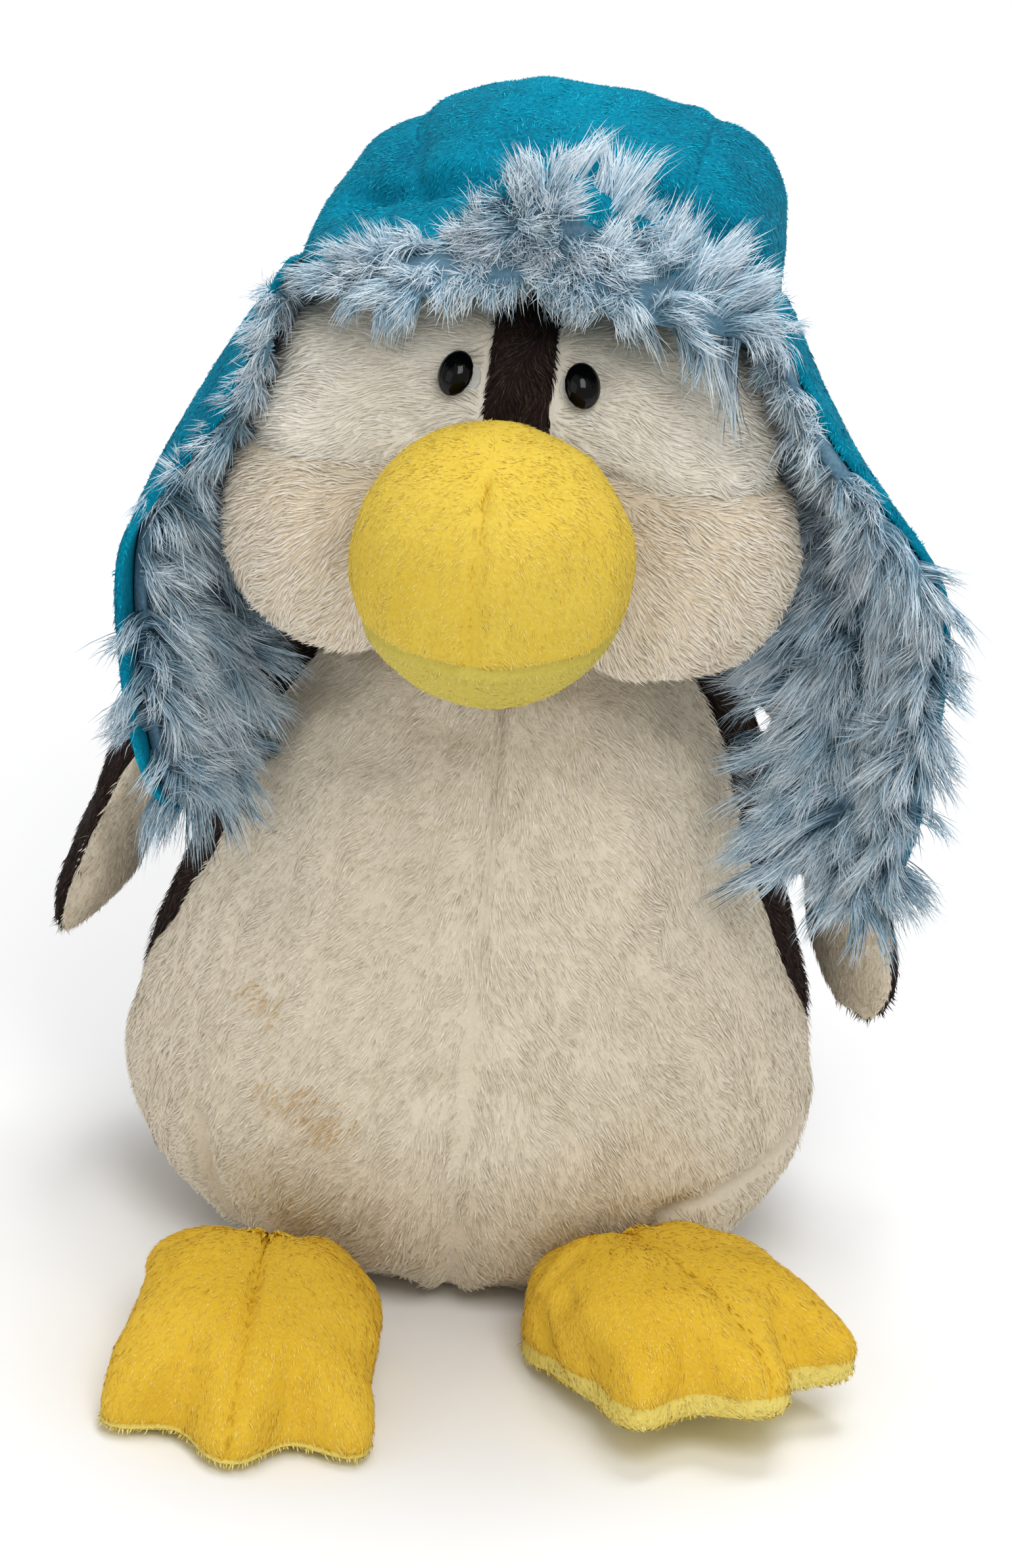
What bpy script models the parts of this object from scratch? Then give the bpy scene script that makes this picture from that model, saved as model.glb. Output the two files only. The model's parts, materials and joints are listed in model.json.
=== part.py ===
"""Plush penguin in a trapper hat, sewn from fabric panels over stuffing.

The toy faces -Y and rests on the floor at z = 0. The origin is the middle of its seat. Every fabric
panel is a thin shell, every filling is a solid core inside its panels, and neighbouring pieces keep
a small seam gap. Units are metres.
"""
import bpy
import bmesh
from math import asin, atan, cos, pi, radians, sin, sqrt
from mathutils import Matrix, Vector

# Fabric and seams
CLOTH = 0.0015           # thickness of a sewn panel
SEAM = 0.00035           # half of the gap that two panels keep along their seam
CORE_INSET = 0.0045      # filling keeps this far inside the outer face of its panels

# Torso: a pear, wider than deep
BODY_CENTRE_Y = 0.014
BODY_DEPTH_RATIO = 0.80
BODY_PROFILE = [         # (height, half width) from the seat's rim to the neck opening
    (0.0008, 0.0560), (0.006, 0.0680), (0.020, 0.0800), (0.042, 0.0870), (0.071, 0.0845),
    (0.110, 0.0765), (0.145, 0.0635), (0.166, 0.0490), (0.176, 0.0330), (0.1785, 0.0180)]
SIDE_SEAM_TOP = radians(61)      # belly panel's edge, measured round from the front
SIDE_SEAM_BOTTOM = radians(115)
SIDE_SEAM_BEND = 0.130           # height below which the seam swings backwards
SEAT_HALF_WIDTH = 0.0525
SEAT_THICKNESS = 0.0020
POUCH_TOP = 0.040                # pellets fill the torso up to here

# Neck and head; the head stands on a small ball of filling that it turns and nods on
NECK_PIVOT = Vector((0.004, 0.0, 0.187))
NECK_RADIUS = 0.008
HEAD_YAW = radians(-5.5)
HEAD_ROLL = radians(-2.5)
HEAD_CENTRE = Vector((0.0, -0.008, 0.051))       # from the neck pivot
HEAD_RADII = Vector((0.055, 0.0515, 0.0545))
CHEEK_CENTRE = Vector((0.040, -0.024, -0.017))   # from the head's centre
CHEEK_RADIUS = 0.0335
CHEEK_BLEND = 10.0
HEAD_LOW = radians(-70)          # neck opening, as an elevation from the head's centre
HEAD_HIGH = radians(82)
HEAD_SIDE = radians(97)          # seam between the face and the back of the head
STRIPE_HALF = 0.008
HEAD_CORE_INSET = 0.0075
HEAD_CORE_FLOOR = 0.0110         # the core stays this far above the neck pivot

# Beak: a ball sewn on in front, in two upper halves and a lower piece
BEAK_CENTRE = Vector((0.0, -0.088, 0.051))
BEAK_RADIUS = 0.0365
BEAK_BACK = -0.0616              # plane where the ball meets the face
MOUTH_DROP = 0.013               # mouth seam below the ball's centre

# Safety eyes, oval, with a locking washer behind the fabric
EYE_AZIMUTH = radians(21.5)
EYE_ELEVATION = radians(36.5)
EYE_HALF_WIDTH = 0.0049
EYE_HALF_HEIGHT = 0.0064
EYE_DOME = 0.0042
EYE_STEM_RADIUS = 0.0018
EYE_STEM_LENGTH = 0.0050
WASHER_RADIUS = 0.0050
WASHER_DEPTH = 0.0026
WASHER_THICKNESS = 0.0009

# Hat crown: a boxy dome in a centre gusset and two side panels
HAT_CENTRE = Vector((0.0, 0.003, 0.082))        # from the neck pivot
HAT_RADII = Vector((0.0620, 0.0560, 0.053))
HAT_SQUARENESS = 3.0
HAT_CLOTH = 0.0022
HAT_RIM_SIDE = 0.088             # rim height above the neck pivot at mid depth
HAT_RIM_SLOPE = 0.44             # the rim climbs towards the brow
GUSSET_HALF = 0.037

# Brow flap, folded up against the crown
BROW_TURN = radians(56)          # half of the arc that it covers
BROW_BOTTOM = 0.1110             # above the neck pivot
BROW_HEIGHT = 0.025
BROW_LEAN = 0.86                # share of the crown's height up to which the flap leans back with it
BROW_FUR = 0.0085
BROW_HINGE = Vector((0.0, -0.056, 0.1095))

# Ear flaps: (centre line points from the neck pivot for the +X side, final turn of the flap's width)
EAR_HALF_WIDTH = 0.0265
EAR_FUR = 0.0060
EAR_LINES = {
    "left": ([(0.0655, -0.008, 0.0880), (0.082, -0.014, 0.058), (0.0935, -0.022, 0.026),
              (0.0920, -0.027, -0.012), (0.0870, -0.030, -0.052)], radians(34)),
    "right": ([(0.0655, -0.006, 0.0880), (0.079, -0.005, 0.056), (0.0895, -0.007, 0.022),
               (0.090, -0.013, -0.018), (0.088, -0.020, -0.064)], radians(56)),
}

# Wings: flat flippers hung at the shoulders
WING_LENGTH = 0.104
WING_HALF_WIDTH = 0.0200
WING_HALF_THICKNESS = 0.0105
WING_CLOTH = 0.0010
WING_SEAM = 0.0009                # half of the gap along the flipper's edge
WINGS = {  # shoulder, lean out from vertical, turn of the pale face towards the front
    "left": (Vector((-0.0735, 0.034, 0.158)), radians(18), radians(24)),
    "right": (Vector((0.0785, 0.033, 0.158)), radians(11), radians(40)),
}

# Feet: three toes each, hinged where they are sewn to the body
FOOT_HEEL = 0.013                # the heel is round about the hinge
FOOT_TOE = 0.066                 # hinge to the middle toe
FOOT_HALF_WIDTH = 0.0430
FOOT_HEIGHT = 0.036
SOLE_EDGE = 0.0085               # height of the seam between sole and upper
FOOT_SEAM = 0.0008               # half of the gap along the middle of the upper
FEET = {  # hinge point, yaw outwards, toes tipped up
    "left": (Vector((-0.047, -0.073, 0.0)), radians(4), 0.0),
    "right": (Vector((0.049, -0.060, 0.0018)), radians(36), radians(11)),
}
FOOT_PIVOT_HEIGHT = 0.016

SIDES = (("left", -1), ("right", 1))

PARTS = "plush_penguin"
CUTTERS = "cutters"


# ---------------------------------------------------------------- scene and materials

for old in list(bpy.data.objects):
    bpy.data.objects.remove(old, do_unlink=True)

collections = {}
for collection_name in (PARTS, CUTTERS):
    collections[collection_name] = bpy.data.collections.new(collection_name)
    bpy.context.scene.collection.children.link(collections[collection_name])

COLOURS = {  # linear base colour, roughness
    "cream": ((0.72, 0.66, 0.54), 0.9),
    "white": ((0.82, 0.77, 0.66), 0.9),
    "blush": ((0.74, 0.63, 0.49), 0.9),
    "brown": ((0.042, 0.023, 0.023), 0.9),
    "yellow": ((0.83, 0.49, 0.03), 0.85),
    "pale_yellow": ((0.76, 0.62, 0.13), 0.85),
    "teal": ((0.005, 0.25, 0.36), 0.8),
    "ice_fur": ((0.42, 0.60, 0.73), 0.9),
    "filling": ((0.85, 0.85, 0.83), 0.95),
    "pellets": ((0.70, 0.70, 0.68), 0.5),
    "eye": ((0.008, 0.007, 0.007), 0.08),
    "washer": ((0.80, 0.80, 0.78), 0.4),
}


def material(name, colour):
    """A Principled material of the named colour for one piece."""
    base, roughness = COLOURS[colour]
    made = bpy.data.materials.new(name)
    made.use_nodes = True
    shader = made.node_tree.nodes["Principled BSDF"]
    shader.inputs["Base Color"].default_value = (*base, 1.0)
    shader.inputs["Roughness"].default_value = roughness
    made.diffuse_color = (*base, 1.0)
    return made


def place(name, mesh, colour, parent=None, collection=PARTS):
    """Link a mesh as a named object, in its parent's frame."""
    mesh.shade_smooth()
    obj = bpy.data.objects.new(name, mesh)
    collections[collection].objects.link(obj)
    obj.parent = parent
    if colour:
        mesh.materials.append(material(name, colour))
    return obj


def frame(name, location, rotation=None, parent=None):
    """An empty that carries the pieces of one moving part, standing on its joint."""
    empty = bpy.data.objects.new(name, None)
    collections[PARTS].objects.link(empty)
    empty.empty_display_size = 0.01
    empty.parent = parent
    turn = rotation if rotation is not None else Matrix.Identity(4)
    empty.matrix_basis = Matrix.Translation(location) @ turn
    return empty


# ---------------------------------------------------------------- shape helpers

def to_mesh(bm, name):
    """Finish a bmesh with outward normals."""
    bm.normal_update()
    bmesh.ops.recalc_face_normals(bm, faces=bm.faces)
    mesh = bpy.data.meshes.new(name)
    bm.to_mesh(mesh)
    bm.free()
    return mesh


def warped_grid(name, surface, columns, rows):
    """A grid whose corners (u, v) in 0..1 are carried onto a surface."""
    bm = bmesh.new()
    bmesh.ops.create_grid(bm, x_segments=columns, y_segments=rows, size=0.5)
    for vert in bm.verts:
        vert.co = surface(vert.co.x + 0.5, vert.co.y + 0.5)
    mesh = bpy.data.meshes.new(name)
    bm.to_mesh(mesh)
    bm.free()
    return mesh


def face_away(mesh, centre):
    """Turn an open surface so that its faces point away from a point."""
    lean = sum((poly.center - centre).dot(poly.normal) for poly in mesh.polygons)
    if lean < 0:
        mesh.flip_normals()


def thicken(obj, thickness):
    """Give an open surface its thickness, inwards from the outer face."""
    solidify = obj.modifiers.new("thickness", "SOLIDIFY")
    solidify.thickness = thickness
    solidify.offset = -1
    solidify.use_even_offset = False
    return obj


def panel(name, surface, columns, rows, colour, centre, parent=None, thickness=CLOTH):
    """A sewn panel: part of a surface, thickened inwards."""
    mesh = warped_grid(name, surface, columns, rows)
    face_away(mesh, centre)
    return thicken(place(name, mesh, colour, parent), thickness)


def ball_core(name, ring_point, around, along, colour, parent=None):
    """A closed solid from a sphere whose rings are moved: ring_point(turn, t), t from 0 low to 1 high.

    The two poles become the middles of the end faces, and the rings next to them its end rims.
    """
    bm = bmesh.new()
    bmesh.ops.create_uvsphere(bm, u_segments=around, v_segments=along, radius=1.0)
    for vert in bm.verts:
        ring = round((asin(max(-1, min(1, vert.co.z))) / pi + 0.5) * along)
        turn = Vector((-vert.co.y, vert.co.x)).angle_signed(Vector((1, 0)), 0) if 0 < ring < along else 0
        t = min(max((ring - 1) / (along - 2), 0), 1)
        rim = ring_point(turn, t)
        if ring in (0, along):
            far = ring_point(turn + pi, t)
            rim = (rim + far) / 2
        vert.co = rim
    return place(name, to_mesh(bm, name), colour, parent)


def cut_away(bm, point, normal):
    """Remove what lies beyond a plane, on the side its normal points to."""
    geometry = bm.verts[:] + bm.edges[:] + bm.faces[:]
    bmesh.ops.bisect_plane(bm, geom=geometry, plane_co=point, plane_no=normal, clear_outer=True)


def cut_shell(name, bm, planes, centre, colour, thickness, parent):
    """An open shell: a closed surface cut back by planes, then thickened inwards."""
    for point, normal in planes:
        cut_away(bm, point, normal)
    mesh = bpy.data.meshes.new(name)
    bm.to_mesh(mesh)
    bm.free()
    face_away(mesh, centre)
    return thicken(place(name, mesh, colour, parent), thickness)


def smoothstep(value):
    """0 to 1 with level ends."""
    value = min(max(value, 0.0), 1.0)
    return value * value * (3 - 2 * value)


def through(points, t):
    """A point at t in 0..1 on a smooth curve through some points."""
    position = t * (len(points) - 1)
    index = min(int(position), len(points) - 2)
    part = position - index
    p0, p1, p2, p3 = (Vector(points[min(max(index + k, 0), len(points) - 1)]) for k in (-1, 0, 1, 2))
    return 0.5 * (2 * p1 + (p2 - p0) * part + (2 * p0 - 5 * p1 + 4 * p2 - p3) * part ** 2
                  + (3 * p1 - p0 - 3 * p2 + p3) * part ** 3)


# ---------------------------------------------------------------- torso

def body_ring(t, inset=0.0):
    """Height and half width of the torso at t from the seat's rim to the neck."""
    height, half = through([(*pair, 0.0) for pair in BODY_PROFILE], t).xy
    return height, half - inset


def body_point(turn, t, inset=0.0):
    """A point of the torso; turn is 0 at the front and grows towards +X."""
    height, half = body_ring(t, inset)
    return Vector((half * sin(turn), BODY_CENTRE_Y - BODY_DEPTH_RATIO * half * cos(turn), height))


def side_seam(t):
    """How far round the belly panel reaches."""
    height = body_ring(t)[0]
    swing = smoothstep((SIDE_SEAM_BEND - height) / SIDE_SEAM_BEND)
    return SIDE_SEAM_TOP + (SIDE_SEAM_BOTTOM - SIDE_SEAM_TOP) * swing


def torso():
    """Two belly panels, two back panels, the seat, and the filling."""
    middle = Vector((0, BODY_CENTRE_Y, 0.08))
    for side, sign in SIDES:
        def belly(u, v, sign=sign):
            gap = SEAM / body_ring(v)[1]
            start, end = gap, side_seam(v) - gap
            return body_point(sign * (start + (end - start) * u), v)

        def back(u, v, sign=sign):
            gap = SEAM / body_ring(v)[1]
            start, end = side_seam(v) + gap, pi - gap
            return body_point(sign * (start + (end - start) * u), v)

        panel(f"belly_panel_{side}", belly, 8, 12, "cream", middle)
        panel(f"back_panel_{side}", back, 8, 12, "brown", middle)

    bm = bmesh.new()
    bmesh.ops.create_cone(bm, cap_ends=True, segments=40, radius1=1, radius2=1, depth=SEAT_THICKNESS)
    for vert in bm.verts:
        vert.co.x *= SEAT_HALF_WIDTH
        vert.co.y = vert.co.y * SEAT_HALF_WIDTH * BODY_DEPTH_RATIO + BODY_CENTRE_Y
        vert.co.z += SEAT_THICKNESS / 2
    place("base_panel", to_mesh(bm, "base_panel"), "cream")

    low = SEAT_THICKNESS + 0.0008
    heights = [body_ring(step / 200)[0] for step in range(201)]
    pouch_end = next(step for step, height in enumerate(heights) if height > POUCH_TOP) / 200

    def pouch(turn, t):
        point = body_point(turn, t * pouch_end, CORE_INSET)
        point.z = low + (POUCH_TOP - low) * t
        return point

    def filling(turn, t):
        point = body_point(turn, pouch_end + (0.985 - pouch_end) * t, CORE_INSET)
        point.z = min(point.z - CORE_INSET * smoothstep(t * 2), NECK_PIVOT.z - NECK_RADIUS - 0.004)
        point.z = max(point.z, POUCH_TOP + 0.0006)
        return point

    ball_core("pellet_pouch", pouch, 18, 4, "pellets")
    ball_core("body_stuffing", filling, 18, 8, "filling")


# ---------------------------------------------------------------- head

def direction(azimuth, elevation):
    """Unit vector: azimuth 0 points forward and grows towards +X."""
    return Vector((sin(azimuth) * cos(elevation), -cos(azimuth) * cos(elevation), sin(elevation)))


def head_radius(ray):
    """Distance from the head's centre to its surface: an oval head with two round cheeks."""
    oval = 1 / sqrt(sum((ray[k] / HEAD_RADII[k]) ** 2 for k in range(3)))
    total = oval ** CHEEK_BLEND
    for sign in (-1, 1):
        cheek = Vector((sign * CHEEK_CENTRE.x, CHEEK_CENTRE.y, CHEEK_CENTRE.z))
        along = ray.dot(cheek)
        under = along ** 2 - cheek.length_squared + CHEEK_RADIUS ** 2
        if under > 0 and along > 0:
            total += (along + sqrt(under)) ** CHEEK_BLEND
    return total ** (1 / CHEEK_BLEND)


def head_point(azimuth, elevation, inset=0.0):
    """A point of the head in the head's frame."""
    ray = direction(azimuth, elevation)
    return HEAD_CENTRE + ray * (head_radius(ray) - inset)


def cheek_seam(azimuth):
    """Elevation of the seam between brow and cheek."""
    return radians(12) - radians(12) * smoothstep(azimuth / HEAD_SIDE)


def stripe_edge(elevation):
    """Azimuth of the forehead stripe's edge."""
    return asin(min(0.9, STRIPE_HALF / (HEAD_RADII.y * cos(elevation))))


def seam_turn(elevation):
    """Half of a seam's gap as an azimuth at some elevation."""
    return SEAM / (HEAD_RADII.y * cos(elevation))


def between(low, high, part):
    """Linear mix."""
    return low + (high - low) * part


def head(parent):
    """Face, cheeks, back of the head and the filling."""
    tilt = SEAM / HEAD_RADII.y

    def stripe(u, v):
        elevation = between(cheek_seam(0) + tilt, HEAD_HIGH, v)
        edge = stripe_edge(elevation) - seam_turn(elevation)
        return head_point(between(-edge, edge, u), elevation)

    panel("forehead_stripe", stripe, 3, 9, "brown", HEAD_CENTRE, parent)

    for side, sign in SIDES:
        def brow(u, v, sign=sign):
            elevation = between(cheek_seam(u * HEAD_SIDE) + tilt, HEAD_HIGH, v)
            start = stripe_edge(elevation) + seam_turn(elevation)
            return head_point(sign * between(start, HEAD_SIDE - seam_turn(elevation), u), elevation)

        def cheek(u, v, sign=sign):
            elevation = between(HEAD_LOW, cheek_seam(u * HEAD_SIDE) - tilt, v)
            gap = seam_turn(elevation)
            return head_point(sign * between(gap, HEAD_SIDE - gap, u), elevation)

        def back(u, v, sign=sign):
            elevation = between(HEAD_LOW, HEAD_HIGH, v)
            gap = seam_turn(elevation)
            return head_point(sign * between(HEAD_SIDE + gap, pi - gap, u), elevation)

        brow_piece = panel(f"brow_panel_{side}", brow, 7, 7, "white", HEAD_CENTRE, parent)
        panel(f"cheek_{side}", cheek, 9, 9, "blush", HEAD_CENTRE, parent)
        panel(f"head_back_{side}", back, 5, 9, "brown", HEAD_CENTRE, parent)
        eye(side, sign, brow_piece, parent)

    def core(turn, t):
        elevation = between(radians(-88), radians(86), t)
        point = head_point(turn, elevation, HEAD_CORE_INSET)
        point.z = max(point.z, HEAD_CORE_FLOOR + 0.002 * t)
        return point

    ball_core("head_stuffing", core, 16, 10, "filling", parent)


def lathe(name, profile, steps, colour, parent, collection=PARTS):
    """A turned piece: a profile at +X, top to bottom, swept round Z."""
    bm = bmesh.new()
    verts = [bm.verts.new((radius, 0, height)) for radius, height in profile]
    for first, second in zip(verts, verts[1:]):
        bm.edges.new((first, second))
    mesh = bpy.data.meshes.new(name)
    bm.to_mesh(mesh)
    bm.free()
    obj = place(name, mesh, colour, parent, collection)
    screw = obj.modifiers.new("turn", "SCREW")
    screw.steps = steps
    screw.render_steps = steps
    screw.use_merge_vertices = True
    screw.merge_threshold = 0.00005
    screw.use_smooth_shade = True
    return obj


def eye(side, sign, brow_piece, parent):
    """An oval dome on a stem through the brow panel, and its washer inside."""
    ray = direction(sign * EYE_AZIMUTH, EYE_ELEVATION)
    seat = HEAD_CENTRE + ray * (head_radius(ray) + 0.0009)
    aim = ray.to_track_quat("Z", "Y").to_matrix().to_4x4()
    stand = Matrix.Translation(seat) @ aim

    dome = [(EYE_HALF_WIDTH * sin(k * pi / 8), EYE_DOME * cos(k * pi / 8)) for k in range(5)]
    dome[0] = (0.0, EYE_DOME)
    stem = [(EYE_STEM_RADIUS, 0.0), (EYE_STEM_RADIUS, -EYE_STEM_LENGTH), (0.0, -EYE_STEM_LENGTH)]
    shape = lathe(f"eye_{side}", dome + stem, 14, "eye", parent)
    shape.matrix_basis = stand @ Matrix.Diagonal((1, EYE_HALF_HEIGHT / EYE_HALF_WIDTH, 1, 1))

    hole = EYE_STEM_RADIUS + 0.0004
    bm = bmesh.new()
    bmesh.ops.create_cone(bm, cap_ends=True, segments=16, radius1=hole, radius2=hole, depth=0.012)
    bmesh.ops.scale(bm, vec=(1, EYE_HALF_HEIGHT / EYE_HALF_WIDTH, 1), verts=bm.verts)
    cutter = place(f"eye_hole_{side}", to_mesh(bm, f"eye_hole_{side}"), None, parent, CUTTERS)
    cutter.matrix_basis = stand
    cutter.hide_render = True
    cutter.display_type = "WIRE"
    cut = brow_piece.modifiers.new("eye hole", "BOOLEAN")
    cut.object = cutter
    cut.solver = "EXACT"

    top = -0.0009 - WASHER_DEPTH
    inner = hole * EYE_HALF_HEIGHT / EYE_HALF_WIDTH
    ring = [(inner, top), (WASHER_RADIUS, top), (WASHER_RADIUS, top - WASHER_THICKNESS),
            (inner, top - WASHER_THICKNESS), (inner, top)]
    washer = lathe(f"eye_washer_{side}", ring, 12, "washer", parent)
    washer.matrix_basis = stand


# ---------------------------------------------------------------- beak

def beak_ball(radius, around, along):
    """The beak's ball with its poles at the tip and the back."""
    bm = bmesh.new()
    bmesh.ops.create_uvsphere(bm, u_segments=around, v_segments=along, radius=radius)
    turn = Matrix.Rotation(radians(90), 4, "X")
    bmesh.ops.transform(bm, matrix=Matrix.Translation(BEAK_CENTRE) @ turn, verts=bm.verts)
    return bm


def beak(parent):
    """Upper halves, lower piece and filling."""
    back_plane = (Vector((0, BEAK_BACK, 0)), Vector((0, 1, 0)))
    mouth = BEAK_CENTRE.z - MOUTH_DROP
    for side, sign in SIDES:
        planes = [back_plane, (Vector((sign * SEAM, 0, 0)), Vector((-sign, 0, 0))),
                  (Vector((0, 0, mouth + SEAM)), Vector((0, 0, -1)))]
        bm = beak_ball(BEAK_RADIUS, 20, 12)
        cut_shell(f"beak_upper_{side}", bm, planes, BEAK_CENTRE, "yellow", CLOTH, parent)
    planes = [back_plane, (Vector((0, 0, mouth - SEAM)), Vector((0, 0, 1)))]
    bm = beak_ball(BEAK_RADIUS, 20, 12)
    cut_shell("beak_lower", bm, planes, BEAK_CENTRE, "pale_yellow", CLOTH, parent)

    bm = beak_ball(BEAK_RADIUS - CORE_INSET, 14, 8)
    cut_away(bm, Vector((0, BEAK_BACK, 0)), Vector((0, 1, 0)))
    rim = [edge for edge in bm.edges if edge.is_boundary]
    bmesh.ops.holes_fill(bm, edges=rim, sides=0)
    place("beak_stuffing", to_mesh(bm, "beak_stuffing"), "filling", parent)


# ---------------------------------------------------------------- hat

def hat_radius(ray):
    """Distance from the crown's centre to its outer face."""
    total = sum(abs(ray[k] / HAT_RADII[k]) ** HAT_SQUARENESS for k in range(3))
    return total ** (-1 / HAT_SQUARENESS)


def hat_dome():
    """The crown as a closed boxy dome."""
    bm = bmesh.new()
    bmesh.ops.create_uvsphere(bm, u_segments=24, v_segments=14, radius=1.0)
    for vert in bm.verts:
        ray = vert.co.normalized()
        vert.co = HAT_CENTRE + ray * hat_radius(ray)
    return bm


def crown(parent):
    """Centre gusset and two side panels, open below along the sloping rim."""
    rim_point = Vector((0, 0, HAT_RIM_SIDE))
    rim = (rim_point, Vector((0, -HAT_RIM_SLOPE, -1)).normalized())
    for side, sign in SIDES:
        planes = [rim, (Vector((sign * (GUSSET_HALF + SEAM), 0, 0)), Vector((-sign, 0, 0)))]
        cut_shell(f"hat_crown_{side}", hat_dome(), planes, HAT_CENTRE, "teal", HAT_CLOTH, parent)
    planes = [rim] + [(Vector((sign * (GUSSET_HALF - SEAM), 0, 0)), Vector((sign, 0, 0)))
                      for _, sign in SIDES]
    cut_shell("hat_crown_centre", hat_dome(), planes, HAT_CENTRE, "teal", HAT_CLOTH, parent)


def brow_surface(offset):
    """The turned-up flap's surface, a given distance in front of the crown."""
    def surface(u, v):
        across = 2 * u - 1
        azimuth = across * BROW_TURN
        height = between(BROW_BOTTOM, BROW_BOTTOM + BROW_HEIGHT * (1 - 0.55 * across ** 4), v)
        height -= 0.006 * across ** 2
        ray = Vector((sin(azimuth), -cos(azimuth), 0))
        rise = min((height - HAT_CENTRE.z) / HAT_RADII.z, BROW_LEAN)
        level = (1 - rise ** HAT_SQUARENESS) ** (1 / HAT_SQUARENESS)
        flat = sum(abs(ray[k] / HAT_RADII[k]) ** HAT_SQUARENESS for k in range(2))
        reach = level * flat ** (-1 / HAT_SQUARENESS) + offset
        return Vector((HAT_CENTRE.x + ray.x * reach, HAT_CENTRE.y + ray.y * reach, height))
    return surface


def brow_flap(parent):
    """Cloth outside, now facing the crown, and fur that faces forwards."""
    shift = Matrix.Translation(-BROW_HINGE)
    cloth_face = 0.0024 + HAT_CLOTH
    fur_face = cloth_face + BROW_FUR + 0.0010
    for name, offset, thickness, colour in (
            ("brow_flap_cover", cloth_face, HAT_CLOTH, "teal"),
            ("brow_flap_fur", fur_face, BROW_FUR * 0.62, "ice_fur")):
        made = panel(name, brow_surface(offset), 12, 3, colour, HAT_CENTRE, parent, thickness)
        made.data.transform(shift)


def ear_surface(side, sign, offset):
    """An ear flap's surface, a given distance inside its outer face."""
    line, turn = EAR_LINES[side]

    def surface(u, v):
        centre = through(line, v)
        ahead = through(line, min(v + 0.02, 1.0)) - through(line, max(v - 0.02, 0.0))
        yaw = turn * smoothstep(v * 1.25)
        across = Vector((sin(yaw), -cos(yaw), 0))
        width = EAR_HALF_WIDTH * (0.86 + 0.14 * smoothstep(v * 3)) * sqrt(1 - 0.93 * v ** 7)
        inward = across.cross(ahead).normalized()
        if inward.x > 0:
            inward = -inward
        bow = 0.004 * (2 * u - 1) ** 2
        depth = offset * (0.62 + 0.38 * smoothstep(v * 5)) + bow * smoothstep(v * 4)
        point = centre + across * (2 * u - 1) * width + inward * depth
        # the upper edge runs along the crown's sloping rim
        point.z -= HAT_RIM_SLOPE * across.y * (2 * u - 1) * width * (1 - smoothstep(v * 2.2))
        return Vector((sign * point.x, point.y, point.z))
    return surface


def ear_hinge(side, sign):
    """Middle of an ear flap's upper edge, from the neck pivot, and its line along the rim."""
    top = Vector(EAR_LINES[side][0][0])
    slope = Matrix.Rotation(-atan(HAT_RIM_SLOPE), 4, "X")
    return Vector((sign * top.x, top.y, top.z)), slope


def ear_flap(side, sign, parent):
    """Cloth outside and fur inside."""
    hinge, slope = ear_hinge(side, sign)
    shift = (Matrix.Translation(hinge) @ slope).inverted()
    inner = Vector((0, -0.01, 0))
    for name, offset, thickness, colour in (
            (f"ear_flap_{side}_cover", 0.0, HAT_CLOTH, "teal"),
            (f"ear_flap_{side}_fur", HAT_CLOTH + 0.0022, EAR_FUR, "ice_fur")):
        surface = ear_surface(side, sign, offset)
        if colour == "ice_fur":
            def inside(u, v, surface=surface):
                return surface(between(0.03, 0.97, u), between(0.06, 0.985, v))
            made = panel(name, inside, 5, 9, colour, inner, parent, thickness)
        else:
            made = panel(name, surface, 5, 9, colour, inner, parent, thickness)
        made.data.transform(shift)


# ---------------------------------------------------------------- wings

def wing_point(turn, t, inset=0.0):
    """A flipper hanging from its shoulder along -Z: wide in X, thin in Y, with a round root."""
    reach = (WING_LENGTH + WING_HALF_WIDTH * 0.5) * t
    off_middle = min(abs(2 * t - 1), 0.985)
    swell = (1 - off_middle ** 3) ** 0.5 * (1.0 - 0.12 * t)
    half = max(WING_HALF_WIDTH * swell - inset, 0.0008)
    thick = max(WING_HALF_THICKNESS * swell * (1.05 - 0.25 * t) - inset, 0.0006)
    return Vector((half * cos(turn), thick * sin(turn), WING_HALF_WIDTH * 0.5 - reach))


def wing(side, sign, parent):
    """Brown outer face, pale inner face and a flat filling."""
    middle = Vector((0, 0, -WING_LENGTH / 2))

    def face(u, v, start):
        thick = abs(wing_point(pi / 2, v).y)
        gap = asin(min(WING_SEAM / thick, 0.6))
        turn = between(gap, pi - gap, 0.5 - 0.5 * cos(pi * u))
        return wing_point(start + turn, v)

    for name, start, colour in (("outer", 0.0, "brown"), ("inner", pi, "cream")):
        panel(f"wing_{side}_{name}", lambda u, v, start=start: face(u, v, start), 6, 9, colour,
              middle, parent, WING_CLOTH)

    def core(turn, t):
        return wing_point(turn, between(0.93, 0.07, t), 0.0035)

    ball_core(f"wing_{side}_stuffing", core, 10, 7, "filling", parent)


# ---------------------------------------------------------------- feet

def foot_outline(turn, inset=0.0):
    """Distance from the hinge point to the sole's edge; turn is 0 towards the toes, positive outwards."""
    away = abs(turn)
    blend = smoothstep((away - radians(70)) / radians(60))
    width = FOOT_HALF_WIDTH * 1.02 / max(sin(min(away, radians(90))), 0.02)
    front = FOOT_TOE * 0.93
    rounded = (front ** -5 + width ** -5) ** (-1 / 5)
    toes = sum(0.0078 * (cos(0.5 * min(abs(turn - centre) * pi / radians(20), pi)) ** 2)
               for centre in (radians(-34), 0.0, radians(34)))
    reach = rounded - 0.006 + toes
    return between(reach, FOOT_HEEL, blend) - inset


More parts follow.
